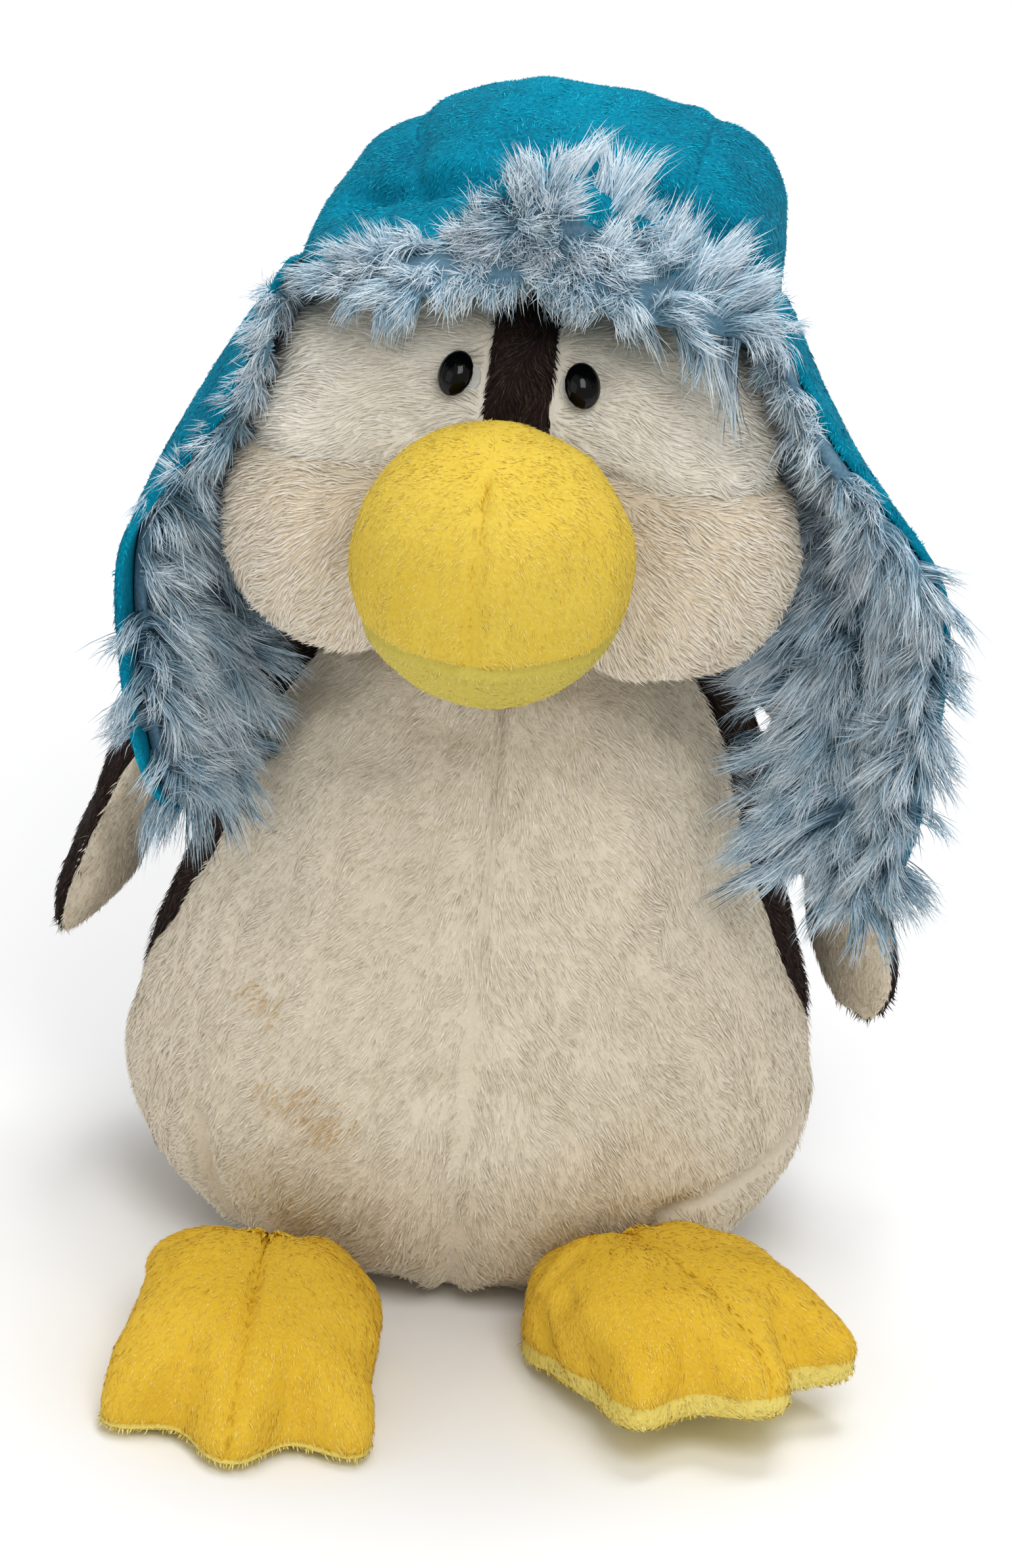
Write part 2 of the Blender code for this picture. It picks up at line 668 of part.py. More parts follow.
def foot_top(turn, part, inset=0.0):
    """A point of the upper: part is 0 at the sole's edge and 1 at the top."""
    reach = foot_outline(turn, inset)
    crest = Vector((0.0, -0.024, 0.0))
    angle = part * pi / 2
    edge = Vector((sin(turn) * reach, -cos(turn) * reach, 0.0))
    spread = cos(angle) ** 0.62
    point = crest * (1 - spread) + edge * spread
    point.z = SOLE_EDGE + (FOOT_HEIGHT - SOLE_EDGE - inset) * sin(angle) ** 0.9
    return point


def foot(side, sign, parent):
    """Two upper halves joined along the middle, the sole and the filling."""
    lift = Matrix.Translation((0, 0, -FOOT_PIVOT_HEIGHT))
    middle = Vector((0, -0.025, 0.012))
    for half, way in (("outer", 1), ("inner", -1)):
        def upper(u, v, way=way):
            part = between(0.02, 0.985, v)
            point = foot_top(way * between(0, pi, u), part)
            point.x = way * max(way * point.x, 0) + way * FOOT_SEAM
            return Vector((sign * point.x, point.y, point.z))

        made = panel(f"foot_{side}_upper_{half}", upper, 16, 5, "yellow", middle, parent)
        made.data.transform(lift)

    def sole(turn, t):
        reach = foot_outline(turn, 0.0015)
        low = reach - 0.0065
        distance = between(low, reach, t)
        point = Vector((sign * sin(turn) * distance, -cos(turn) * distance, 0.0))
        point.z = between(0.0, SOLE_EDGE - 0.0006, t)
        return point

    made = ball_core(f"foot_{side}_sole", sole, 36, 3, "pale_yellow", parent)
    made.data.transform(lift)

    def core(turn, t):
        point = foot_top(turn, between(0.03, 0.93, t), CORE_INSET)
        point.x *= sign
        point.z = max(point.z, SOLE_EDGE + 0.0006)
        return point

    made = ball_core(f"foot_{side}_stuffing", core, 20, 5, "filling", parent)
    made.data.transform(lift)


# ---------------------------------------------------------------- assembly

torso()

neck_frame = frame("neck_frame", NECK_PIVOT)
bm_neck = bmesh.new()
bmesh.ops.create_icosphere(bm_neck, subdivisions=2, radius=NECK_RADIUS)
place("neck_core", to_mesh(bm_neck, "neck_core"), "filling", neck_frame)

head_turn = Matrix.Rotation(HEAD_YAW, 4, "Z") @ Matrix.Rotation(HEAD_ROLL, 4, "Y")
head_frame = frame("head_frame", Vector((0, 0, 0)), head_turn, neck_frame)
head(head_frame)
beak(head_frame)
crown(head_frame)
brow_flap(frame("brow_flap_frame", BROW_HINGE, None, head_frame))
for side_name, side_sign in SIDES:
    hinge_point, rim_slope = ear_hinge(side_name, side_sign)
    rim_frame = frame(f"ear_flap_{side_name}_frame", hinge_point, rim_slope, head_frame)
    ear_flap(side_name, side_sign, rim_frame)

for side_name, side_sign in SIDES:
    shoulder, lean, face = WINGS[side_name]
    # the flipper's width runs fore and aft, its outer face turns away from the body
    hang = (Matrix.Rotation(-side_sign * lean, 4, "Y")
            @ Matrix.Rotation(-side_sign * (radians(90) - face), 4, "Z"))
    wing(side_name, side_sign, frame(f"wing_{side_name}_frame", shoulder, hang))

for side_name, side_sign in SIDES:
    spot, yaw, tip = FEET[side_name]
    stance = Matrix.Rotation(side_sign * yaw, 4, "Z") @ Matrix.Rotation(-tip, 4, "X")
    joint = spot + Vector((0, 0, FOOT_PIVOT_HEIGHT))
    foot(side_name, side_sign, frame(f"foot_{side_name}_frame", joint, stance))
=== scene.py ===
import json
from math import asin, cos, pi, radians, sin

import bpy
import numpy as np
from mathutils import Matrix, Vector

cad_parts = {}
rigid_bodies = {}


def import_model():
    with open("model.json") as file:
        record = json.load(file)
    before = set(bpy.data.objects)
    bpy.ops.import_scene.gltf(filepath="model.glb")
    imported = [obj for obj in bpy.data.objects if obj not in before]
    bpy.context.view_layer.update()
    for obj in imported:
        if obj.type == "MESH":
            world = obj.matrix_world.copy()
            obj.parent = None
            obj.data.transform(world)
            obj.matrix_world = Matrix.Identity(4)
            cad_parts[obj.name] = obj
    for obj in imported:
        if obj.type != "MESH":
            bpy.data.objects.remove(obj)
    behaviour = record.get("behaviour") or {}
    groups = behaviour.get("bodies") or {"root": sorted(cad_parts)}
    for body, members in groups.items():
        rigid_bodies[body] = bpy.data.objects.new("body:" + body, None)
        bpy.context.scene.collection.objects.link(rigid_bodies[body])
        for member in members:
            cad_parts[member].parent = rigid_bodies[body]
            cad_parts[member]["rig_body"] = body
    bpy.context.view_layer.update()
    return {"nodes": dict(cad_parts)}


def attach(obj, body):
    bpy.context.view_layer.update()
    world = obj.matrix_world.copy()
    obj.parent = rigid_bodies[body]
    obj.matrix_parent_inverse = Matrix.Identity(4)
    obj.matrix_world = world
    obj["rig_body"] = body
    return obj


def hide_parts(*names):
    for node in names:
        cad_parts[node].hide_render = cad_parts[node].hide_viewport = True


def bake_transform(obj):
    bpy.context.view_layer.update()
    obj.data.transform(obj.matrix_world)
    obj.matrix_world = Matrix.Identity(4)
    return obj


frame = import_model()
SIDES = (("left", -1), ("right", 1))
FLOOR_GAP = 0.0003           # how far the skins stay above the floor


def placed(name, data):
    """A new object in the scene."""
    made = bpy.data.objects.new(name, data)
    bpy.context.scene.collection.objects.link(made)
    return made


# ---------------------------------------------------------------- camera, floor and light

ELEVATION = radians(28)
ROLL = radians(5.5)
FRAME_HEIGHT = 0.3937        # what the picture takes in at the toy's feet, in metres
DISTANCE = 7.0
SENSOR = 36
AIM = (0.019, 0.175)         # picture's centre, across and up from the toes' line
TOE_LINE = Vector((0, -0.129, 0))


def camera():
    """A long lens in front of the toy, looking down at it."""
    away = Vector((0, -cos(ELEVATION), sin(ELEVATION)))
    turn = (-away).to_track_quat("-Z", "Y").to_matrix() @ Matrix.Rotation(ROLL, 3, "Z")
    centre = TOE_LINE + turn @ Vector((AIM[0], AIM[1], 0))
    data = bpy.data.cameras.new("camera")
    data.sensor_width = SENSOR
    data.lens = SENSOR * DISTANCE / FRAME_HEIGHT
    data.clip_end = 30
    made = placed("camera", data)
    made.matrix_world = Matrix.Translation(centre + away * DISTANCE) @ turn.to_4x4()
    bpy.context.scene.camera = made


def lamp(name, spot, power, size):
    """A soft square light aimed at the toy's middle."""
    data = bpy.data.lights.new(name, "AREA")
    data.energy = power
    data.size = size
    made = placed(name, data)
    aim = Vector((0, 0, 0.15)) - Vector(spot)
    made.matrix_world = Matrix.Translation(spot) @ aim.to_track_quat("-Z", "Y").to_matrix().to_4x4()


def studio():
    """White floor, a bright sky and three soft lights."""
    half, drop = 6, -0.0004
    bpy.context.scene.view_settings.view_transform = "Standard"
    world = bpy.data.worlds.new("studio")
    bpy.context.scene.world = world
    world.use_nodes = True
    sky = world.node_tree.nodes["Background"]
    sky.inputs["Color"].default_value = (1.0, 1.0, 1.0, 1)
    sky.inputs["Strength"].default_value = 0.50
    lamp("key", (0.3, -1.3, 1.7), 16, 0.9)
    lamp("fill", (-1.4, -1.2, 0.8), 3, 1.2)
    lamp("top", (0.1, 0.3, 1.9), 19, 1.0)
    mesh = bpy.data.meshes.new("floor")
    corners = ((-1, -1), (1, -1), (1, 1), (-1, 1))
    mesh.from_pydata([(half * x, half * y, drop) for x, y in corners], [], [(0, 1, 2, 3)])
    mesh.materials.append(material("floor", {"Base Color": (0.94, 0.94, 0.94, 1), "Roughness": 0.9})[0])
    placed("floor", mesh)


# ---------------------------------------------------------------- number helpers

def linear(colour):
    """Linear values of a colour given in 0..255."""
    c = np.array(colour, float) / 255
    return tuple(np.where(c < 0.04045, c / 12.92, ((c + 0.055) / 1.055) ** 2.4))


def smooth(x):
    """0 to 1 with level ends."""
    x = np.clip(x, 0, 1)
    return x * x * (3 - 2 * x)


def unit(v):
    """Vectors of length one."""
    return v / np.maximum(np.linalg.norm(v, axis=-1, keepdims=True), 1e-12)


def spline(points, t):
    """Points at t in 0..1 on a smooth curve through some points."""
    p = np.array(points, float)
    last = len(p) - 1
    place = np.clip(np.asarray(t, float), 0, 1) * last
    index = np.minimum(place.astype(int), last - 1)
    f = (place - index)[..., None]
    a, b, c, d = (p[np.clip(index + k, 0, last)] for k in (-1, 0, 1, 2))
    square = (2 * a - 5 * b + 4 * c - d) * f ** 2
    return 0.5 * (2 * b + (c - a) * f + square + (3 * b - a - 3 * c + d) * f ** 3)


def waves(p, size, seed):
    """A smooth random vector for each point, about -1 to 1, that changes over a given length."""
    count = 7
    rng = np.random.default_rng(seed)
    out = np.zeros((len(p), 3))
    for axis in range(3):
        for _ in range(count):
            k = unit(rng.normal(size=3)) * 2 * pi / (size * rng.uniform(0.7, 1.6))
            out[:, axis] += np.sin(p @ k + rng.uniform(0, 2 * pi))
    return out / (0.5 * count) ** 0.5 / 1.4


# ---------------------------------------------------------------- materials

def material(name, values):
    """A material with some of its shader's sockets set, and the shader."""
    made = bpy.data.materials.new(name)
    made.use_nodes = True
    shader = made.node_tree.nodes["Principled BSDF"]
    for socket, value in values.items():
        shader.inputs[socket].default_value = value
    return made, shader


def cloth_values(colour, sheen, rough, specular):
    """Shader values that all fabric shares."""
    return {"Roughness": rough, "Specular IOR Level": specular, "Sheen Weight": sheen, "Sheen Roughness": 0.5,
            "Sheen Tint": (*linear(colour), 1)}


def plush(name, colour, dark, scale=900, mottle=30, sheen=0.35, bump=0.5, rough=0.92, specular=0.1):
    """Short-pile cloth: fine fibres with soft darker patches."""
    made, shader = material(name, cloth_values(colour, sheen, rough, specular))
    tree = made.node_tree

    def node(kind, values):
        """A node with some of its sockets set."""
        new = tree.nodes.new(f"ShaderNode{kind}")
        for socket, value in values.items():
            new.inputs[socket].default_value = value
        return new

    spot = node("TexCoord", {})
    fine = node("TexNoise", {"Scale": scale, "Detail": 3})
    patch = node("TexNoise", {"Scale": mottle, "Detail": 2})
    fine_share = node("Math", {1: 0.55})
    fine_share.operation = "MULTIPLY_ADD"
    patch_share = node("Math", {1: 0.45})
    patch_share.operation = "MULTIPLY"
    ramp = node("ValToRGB", {})
    for element, place, shade in zip(ramp.color_ramp.elements, (0.36, 0.60), (dark, colour)):
        element.position = place
        element.color = (*linear(shade), 1)
    lift = node("Bump", {"Strength": bump, "Distance": 0.0008})
    for source, leaving, target, entering in (
            (spot, "Object", fine, "Vector"), (spot, "Object", patch, "Vector"), (fine, "Fac", fine_share, 0),
            (patch, "Fac", patch_share, 0), (patch_share, 0, fine_share, 2), (fine_share, 0, ramp, "Fac"),
            (ramp, "Color", shader, "Base Color"), (fine, "Fac", lift, "Height"),
            (lift, "Normal", shader, "Normal")):
        tree.links.new(source.outputs[leaving], target.inputs[entering])
    return made


def fibre(name, colour, sheen):
    """One shade of the pile's fibres."""
    return material(name, {"Base Color": (*linear(colour), 1), **cloth_values(colour, sheen, 0.75, 0.05)})[0]


PALETTE = {  # skin, skin in the depth, then the shades of its fibres from dark to light
    "cream": ((224, 213, 193), (217, 205, 184), (204, 191, 167), (216, 205, 184), (228, 218, 199), (238, 230, 214)),
    "white": ((240, 234, 221), (234, 227, 211), (218, 209, 191), (230, 224, 209), (238, 233, 221), (245, 242, 233)),
    "blush": ((222, 207, 183), (214, 198, 172), (207, 190, 165), (221, 208, 187), (231, 221, 204), (239, 232, 218)),
    "brown": ((44, 34, 31), (28, 20, 18), (34, 25, 23), (44, 34, 31), (57, 46, 42), (74, 62, 57)),
    "yellow": ((218, 190, 78), (210, 178, 60), (204, 162, 44), (218, 188, 74), (226, 199, 92), (234, 212, 116)),
    "foot": ((228, 188, 62), (220, 176, 46), (212, 164, 40), (226, 185, 60), (234, 198, 80), (240, 210, 104)),
    "sole": ((234, 214, 116), (224, 202, 98), (216, 194, 92), (230, 210, 112), (240, 222, 134), (246, 233, 156)),
    "stain": ((214, 190, 150), (196, 168, 124), (196, 164, 118), (206, 177, 134), (214, 190, 150), (222, 203, 170)),
    # the lower beak's own paler yellow, darkened with painted shade for its underside
    "pale_yellow": ((200, 184, 88), (188, 170, 74), (184, 164, 70), (198, 180, 86), (210, 194, 104), (224, 210, 128)),
    "teal": ((0, 132, 160), (0, 96, 124), (0, 112, 140), (0, 136, 166), (8, 156, 186), (34, 180, 206)),
    "ice": ((104, 138, 158), (78, 112, 132), (104, 138, 158), (146, 177, 195), (186, 207, 221), (222, 234, 242)),
}
SHEEN = {"teal": 0.0, "sole": 0.15, "brown": 0.05, "foot": 0.15, "yellow": 0.15, "pale_yellow": 0.15}
USUAL_SHEEN = 0.3
skins = {k: plush(f"{k}_plush", c[0], c[1], sheen=SHEEN.get(k, USUAL_SHEEN)) for k, c in PALETTE.items()}
shades = {k: [fibre(f"{k}_fibre_{i}", shade, SHEEN.get(k, USUAL_SHEEN)) for i, shade in enumerate(c[2:])]
          for k, c in PALETTE.items()}


# ---------------------------------------------------------------- meshes

def mesh_object(name, verts, faces, indices=None, materials=(), normals=None):
    """An object from arrays: faces is one array per face size."""
    mesh = bpy.data.meshes.new(name)
    faces = [np.asarray(f, np.int32) for f in faces if len(f)]
    loops = np.concatenate([f.ravel() for f in faces])
    totals = np.concatenate([np.full(len(f), f.shape[1], np.int32) for f in faces])
    mesh.vertices.add(len(verts))
    mesh.vertices.foreach_set("co", np.asarray(verts, np.float32).ravel())
    mesh.loops.add(len(loops))
    mesh.loops.foreach_set("vertex_index", loops)
    mesh.polygons.add(len(totals))
    starts = np.concatenate([[0], np.cumsum(totals)[:-1]]).astype(np.int32)
    mesh.polygons.foreach_set("loop_start", starts)
    mesh.polygons.foreach_set("loop_total", totals)
    if indices is not None:
        mesh.polygons.foreach_set("material_index", np.asarray(indices, np.int32))
    mesh.update(calc_edges=True)
    mesh.shade_smooth()
    for m in materials:
        mesh.materials.append(m)
    if normals is not None:
        mesh.normals_split_custom_set_from_vertices(np.asarray(normals, float).tolist())
    return placed(name, mesh)


def grid_faces(rows, columns, closed):
    """Quads of a grid whose points are stored row by row."""
    r = np.arange(rows - 1)[:, None]
    c = np.arange(columns if closed else columns - 1)[None, :]
    d = (c + 1) % columns
    near, far = r * columns, (r + 1) * columns
    return np.stack([near + c, near + d, far + d, far + c], -1).reshape(-1, 4)


def read(items, attribute, width, kind=np.float32):
    """One attribute of all a mesh's points, loops or faces."""
    out = np.zeros(len(items) * width, kind)
    items.foreach_get(attribute, out)
    return out.reshape(-1, width)


def coordinates(mesh):
    """A mesh's points."""
    return read(mesh.vertices, "co", 3).astype(float)


def set_coordinates(mesh, points):
    """Move a mesh's points."""
    mesh.vertices.foreach_set("co", points.astype(np.float32).ravel())
    mesh.update()


def vertex_normals(mesh):
    """A mesh's smooth normals."""
    return read(mesh.vertex_normals, "vector", 3).astype(float)


def mesh_quads(mesh):
    """The faces of a mesh that has only quads."""
    return read(mesh.loops, "vertex_index", 1, np.int32).reshape(-1, 4)


def evaluated(obj):
    """The mesh that an object's modifiers make."""
    deps = bpy.context.evaluated_depsgraph_get()
    return bpy.data.meshes.new_from_object(obj.evaluated_get(deps))


def subdivided(obj):
    """The object's mesh with each face split and rounded once."""
    split = obj.modifiers.new("subdivide", "SUBSURF")
    split.levels = split.render_levels = 1
    return evaluated(obj)


class Form:
    """A closed soft form: rings of points, with a region for each face and a seam weight for each point."""

    def __init__(self, name, rings, low, high, regions, seam):
        rows, columns = rings.shape[:2]
        self.name = name
        verts = np.concatenate([rings.reshape(-1, 3), [low, high]])
        quads = grid_faces(rows, columns, True)
        c = np.arange(columns)
        d = (c + 1) % columns
        bottom = np.stack([d, c, np.full(columns, rows * columns)], 1)
        last = (rows - 1) * columns
        top = np.stack([last + c, last + d, np.full(columns, rows * columns + 1)], 1)
        regions = np.concatenate([regions.ravel(), regions[0], regions[-1]])
        self.obj = mesh_object(name, verts, [quads, bottom, top], regions)
        self.seam = np.concatenate([seam.ravel(), [0, 0]])

    def inflate(self, cap):
        """Cloth blown up from inside, held along its seams."""
        frames = 14
        obj = self.obj
        pin = obj.vertex_groups.new(name="pin")
        for level in np.unique(self.seam[self.seam > 0.4]):
            pin.add(np.nonzero(self.seam == level)[0].tolist(), float(level), "REPLACE")
        rest = coordinates(obj.data)
        cloth = obj.modifiers.new("cloth", "CLOTH")
        s = cloth.settings
        s.quality = 4
        s.mass = 0.1
        s.tension_stiffness = s.compression_stiffness = 8
        s.shear_stiffness = 4
        s.bending_stiffness = 0.3
        s.shrink_min = -0.02
        s.use_pressure = True
        s.uniform_pressure_force = 4.0
        s.vertex_group_mass = "pin"
        s.effector_weights.gravity = 0
        cloth.point_cache.frame_start = 1
        cloth.point_cache.frame_end = frames
        scene = bpy.context.scene
        for step in range(1, frames + 1):
            scene.frame_set(step)
        moved = coordinates(evaluated(obj))
        scene.frame_set(1)
        obj.modifiers.remove(cloth)
        push = moved - rest
        size = np.linalg.norm(push, axis=1, keepdims=True)
        push *= np.minimum(1, cap / np.maximum(size, 1e-9)) * np.isfinite(size)
        set_coordinates(obj.data, rest + np.nan_to_num(push))
        print(self.name, "cloth moved", size.mean().round(5), size.max().round(5))
        return self

    def refine(self, groove=0.0012, inset=0.0015):
        """Subdivide, leave room for the pile, and draw the seams in."""
        group = self.obj.vertex_groups.new(name="seam")
        for level in np.unique(self.seam[self.seam > 0]):
            group.add(np.nonzero(self.seam == level)[0].tolist(), float(level), "REPLACE")
        mesh = subdivided(self.obj)
        self.points = coordinates(mesh)
        normals = vertex_normals(mesh)
        weight = np.zeros(len(self.points))
        for v in mesh.vertices:
            for g in v.groups:
                if g.group == group.index:
                    weight[v.index] = g.weight
        self.points -= normals * (inset + weight ** 1.5 * groove)[:, None]
        self.points[:, 2] = np.maximum(self.points[:, 2], FLOOR_GAP)
        set_coordinates(mesh, self.points)
        self.normals = vertex_normals(mesh)
        self.quads = mesh_quads(mesh)
        self.region = read(mesh.polygons, "material_index", 1, np.int32).ravel()
        bpy.data.objects.remove(self.obj)
        return self

    def carve(self, move):
        """Move points by an array of offsets along the normals, then renew the normals."""
        self.points = self.points + self.normals * move[:, None]
        self.points[:, 2] = np.maximum(self.points[:, 2], FLOOR_GAP)
        probe = mesh_object("probe", self.points, [self.quads])
        self.normals = vertex_normals(probe.data)
        bpy.data.objects.remove(probe)
        return self

    def piece(self, name, regions, colour, body, replaced, fill=None, blend=None):
        """One panel of the form as an object of its own."""
        keep = np.isin(self.region, regions)
        quads = self.quads[keep]
        used, flat = np.unique(quads, return_inverse=True)
        made = mesh_object(name, self.points[used], [flat.reshape(-1, 4)], None, [skins[colour]],
                           self.normals[used])
        finish_piece(made, body, replaced, blend)
        return Patch(self.points, self.normals, quads)


def finish_piece(made, body, replaced=(), blend=None):
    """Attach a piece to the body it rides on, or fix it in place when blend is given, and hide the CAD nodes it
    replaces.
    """
    if blend:
        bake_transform(made)
    else:
        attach(made, body)
    if replaced:
        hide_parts(*replaced)


class Patch:
    """Part of a surface that pile grows on."""

    def __init__(self, points, normals, quads):
        self.points, self.normals, self.quads = points, normals, quads

    def sample(self, spacing, seed, keep=None):
        """Random spots with their normals, one for each square of the spacing."""
        rng = np.random.default_rng(seed)
        a, b, c, d = (self.points[self.quads[:, k]] for k in range(4))
        area = np.linalg.norm(np.cross(c - a, d - b), axis=1) / 2
        expected = area / spacing ** 2
        number = np.floor(expected + rng.random(len(area))).astype(int)
        which = np.repeat(np.arange(len(area)), number)
        u, v = rng.random((2, len(which), 1))
        w = [(1 - u) * (1 - v), u * (1 - v), u * v, (1 - u) * v]
        spots = sum(w[k] * self.points[self.quads[which, k]] for k in range(4))
        normals = unit(sum(w[k] * self.normals[self.quads[which, k]] for k in range(4)))
        if keep is not None:
            chosen = keep(spots)
            spots, normals = spots[chosen], normals[chosen]
        return spots, normals


def pile(name, patch, colour, body, comb, seed, spacing=0.00092, length=0.0038, width=0.0004, lift=13,
         ruffle=0.32, shade=None, blend=None, keep=None, swirl=0.008):
    """Short fibres as small bent blades, combed along a direction and ruffled into tufts."""
    soft = 0.9  # how far a blade is lit like the surface below it
    rng = np.random.default_rng(seed)
    spots, normals = patch.sample(spacing, seed, keep)
    count = len(spots)
    streak = spots * [1, 1, 0.4]
    way = (comb(spots, normals) + ruffle * waves(streak, swirl, seed + 5)
           + 0.35 * ruffle * rng.normal(size=(count, 3)))
    way = unit(way - normals * np.sum(way * normals, 1, keepdims=True))
    rise = (radians(lift) * (1 + 0.12 * waves(streak, swirl * 1.3, seed + 9)[:, :1])
            + radians(3) * rng.normal(size=(count, 1)))
    size = length * (1 + 0.18 * rng.normal(size=(count, 1)) + 0.08 * waves(streak, swirl * 1.7, seed + 2)[:, :1])
    base = way * np.cos(rise * 1.5) + normals * np.sin(rise * 1.5)
    tip = way * np.cos(rise * 0.5) + normals * np.sin(rise * 0.5)
    side = unit(np.cross(normals, way) + 0.25 * rng.normal(size=(count, 3))) * width / 2
    root = spots - normals * 0.0004
    middle = root + base * size * 0.5
    end = middle + tip * size * 0.5
    verts = np.stack([root - side, root + side, middle - side * 0.9, middle + side * 0.9, end], 1).reshape(-1, 3)
    verts[:, 2] = np.maximum(verts[:, 2], 0.0)
    first = np.arange(count)[:, None] * 5
    quads = first + np.array([[1, 0, 2, 3]])
    tips = first + np.array([[3, 2, 4]])
    lit = normals * soft + (base - way * 0.3) * (1 - soft)
    bent = unit(lit + 0.16 * rng.normal(size=(count, 3)))
    tone = rng.normal(size=count) * 0.55 + waves(streak, swirl * 0.6, seed + 3)[:, 0] * 0.16 + 1.4
    if shade is not None:
        tone = tone + shade(spots)
    slots = [np.clip(np.round(tone + level), 0, 3).astype(int) for level in (-0.3, 0.5)]
    made = mesh_object(name, verts, [quads, tips], np.concatenate(slots), shades[colour],
                       np.repeat(bent, 5, axis=0))
    finish_piece(made, body, (), blend)


STRANDS = 46                 # in one lock of long fur
STRAND_WIDTH = 0.00026
STRAND_SEGMENTS = 4
LOCK_RADIUS = 0.0030
LOCK_LENGTH = 0.020
LOCK_CURL = 0.5
LOCK_PINCH = 0.42            # how far a lock's strands run together at its tip
FUR_CEILING = 0.334          # above this height the fur is pressed down


def locks(name, patch, colour, body, flow, seed, spacing=0.0034, blend=None, keep=None):
    """Long fur: locks of strands that run together towards their tips."""
    strands, segments = STRANDS, STRAND_SEGMENTS
    rng = np.random.default_rng(seed)
    spots, normals = patch.sample(spacing, seed, keep)
    count = len(spots)
    start, droop, share = flow(spots, normals)
    reach = LOCK_LENGTH * share * (1 + 0.22 * rng.normal(size=(count, 1)))
    start = unit(start + 0.30 * rng.normal(size=(count, 3)) + 0.30 * waves(spots, 0.012, seed + 4))
    droop = unit(droop + 0.34 * rng.normal(size=(count, 3)) + 0.40 * waves(spots, 0.010, seed + 6))
    bend = unit(rng.normal(size=(count, 3))) * LOCK_CURL
    across = unit(np.cross(normals, droop + 0.01))
    other = np.cross(normals, across)
    s = np.linspace(0, 1, segments + 1)[None, :, None]
    spine = (spots - normals * 0.001)[:, None] + reach[:, None] * (
        start[:, None] * (s - 0.45 * s ** 2) + droop[:, None] * 0.55 * s ** 2
        + bend[:, None] * (s ** 2 - s ** 3) * 0.8)
    angle = rng.uniform(0, 2 * pi, (count, strands, 1))
    radius = LOCK_RADIUS * np.sqrt(rng.random((count, strands, 1)))
    off = across[:, None] * np.cos(angle) * radius + other[:, None] * np.sin(angle) * radius
    tight = 1 - LOCK_PINCH * s[:, None] ** 0.9
    stray = 0.28 * LOCK_RADIUS * rng.normal(size=(count, strands, 1, 3)) * s[:, None] ** 2 * 2
    cut = rng.uniform(0.62, 1.0, (count, strands, 1, 1))
    # a shorter strand follows the lock's line only part of the way
    along = (spine[:, None] - spine[:, None, :1]) * cut + spine[:, None, :1]
    line = along + off[:, :, None] * tight + stray
    tangent = unit(np.gradient(line, axis=2))
    face = rng.normal(size=(count, strands, 1, 3))
    face = unit(face * 0.5 + normals[:, None, None] * 0.7 + [0, -0.8, 0.6])
    side = unit(np.cross(tangent, face)) * (STRAND_WIDTH / 2) * (1 - 0.35 * s[:, None])
    rails = np.stack([line - side, line + side], 3)[:, :, :segments].reshape(count * strands, segments * 2, 3)
    verts = np.concatenate([rails, line[:, :, -1].reshape(-1, 1, 3)], 1).reshape(-1, 3)
    verts[:, 2] = np.minimum(verts[:, 2], FUR_CEILING + 0.4 * np.abs(verts[:, 2] - FUR_CEILING))
    total = count * strands
    per = segments * 2 + 1
    first = np.arange(total)[:, None] * per
    quads = np.concatenate([first + np.array([[k, k + 1, k + 3, k + 2]]) for k in range(0, 2 * segments - 2, 2)])
    tips = first + np.array([[2 * segments - 2, 2 * segments - 1, 2 * segments]])
    radial = unit(off[:, :, None] + 1e-9)
    bent = unit(normals[:, None, None] * 0.5 + radial * 0.5 + [0, -0.25, 0.45]
                + 0.15 * rng.normal(size=(count, strands, 1, 3)))
    bent = np.broadcast_to(bent, (count, strands, per, 3)).reshape(-1, 3)
    tone = waves(spots, 0.009, seed + 3)[:, 0] * 0.6 + 0.3 * rng.normal(size=count)
    tone = np.repeat(tone, strands) + 0.5 * rng.normal(size=total)
    slots = [np.clip(np.round(tone + level), 0, 3).astype(int) for level in np.linspace(0.3, 2.6, segments)]
    made = mesh_object(name, verts, [quads, tips], np.concatenate(slots), shades[colour], bent)
    finish_piece(made, body, (), blend)


TEAL_PILE = {"spacing": 0.0009, "length": 0.0022, "width": 0.00034, "lift": 14, "ruffle": 0.7, "swirl": 0.007}


# ---------------------------------------------------------------- torso

BODY_CENTRE_Y = 0.014
BODY_DEPTH = 0.80
BODY_PROFILE = [(0.0008, 0.056), (0.006, 0.068), (0.020, 0.080), (0.042, 0.087), (0.071, 0.0835), (0.110, 0.0735),
                (0.145, 0.0645), (0.166, 0.0535), (0.177, 0.043), (0.185, 0.036), (0.191, 0.031)]
SEAM_TOP = radians(68)       # the side seam's turn from the front, at the top and at the floor
SEAM_BOTTOM = radians(115)
SEAM_BEND = 0.130            # the height where it starts to swing back


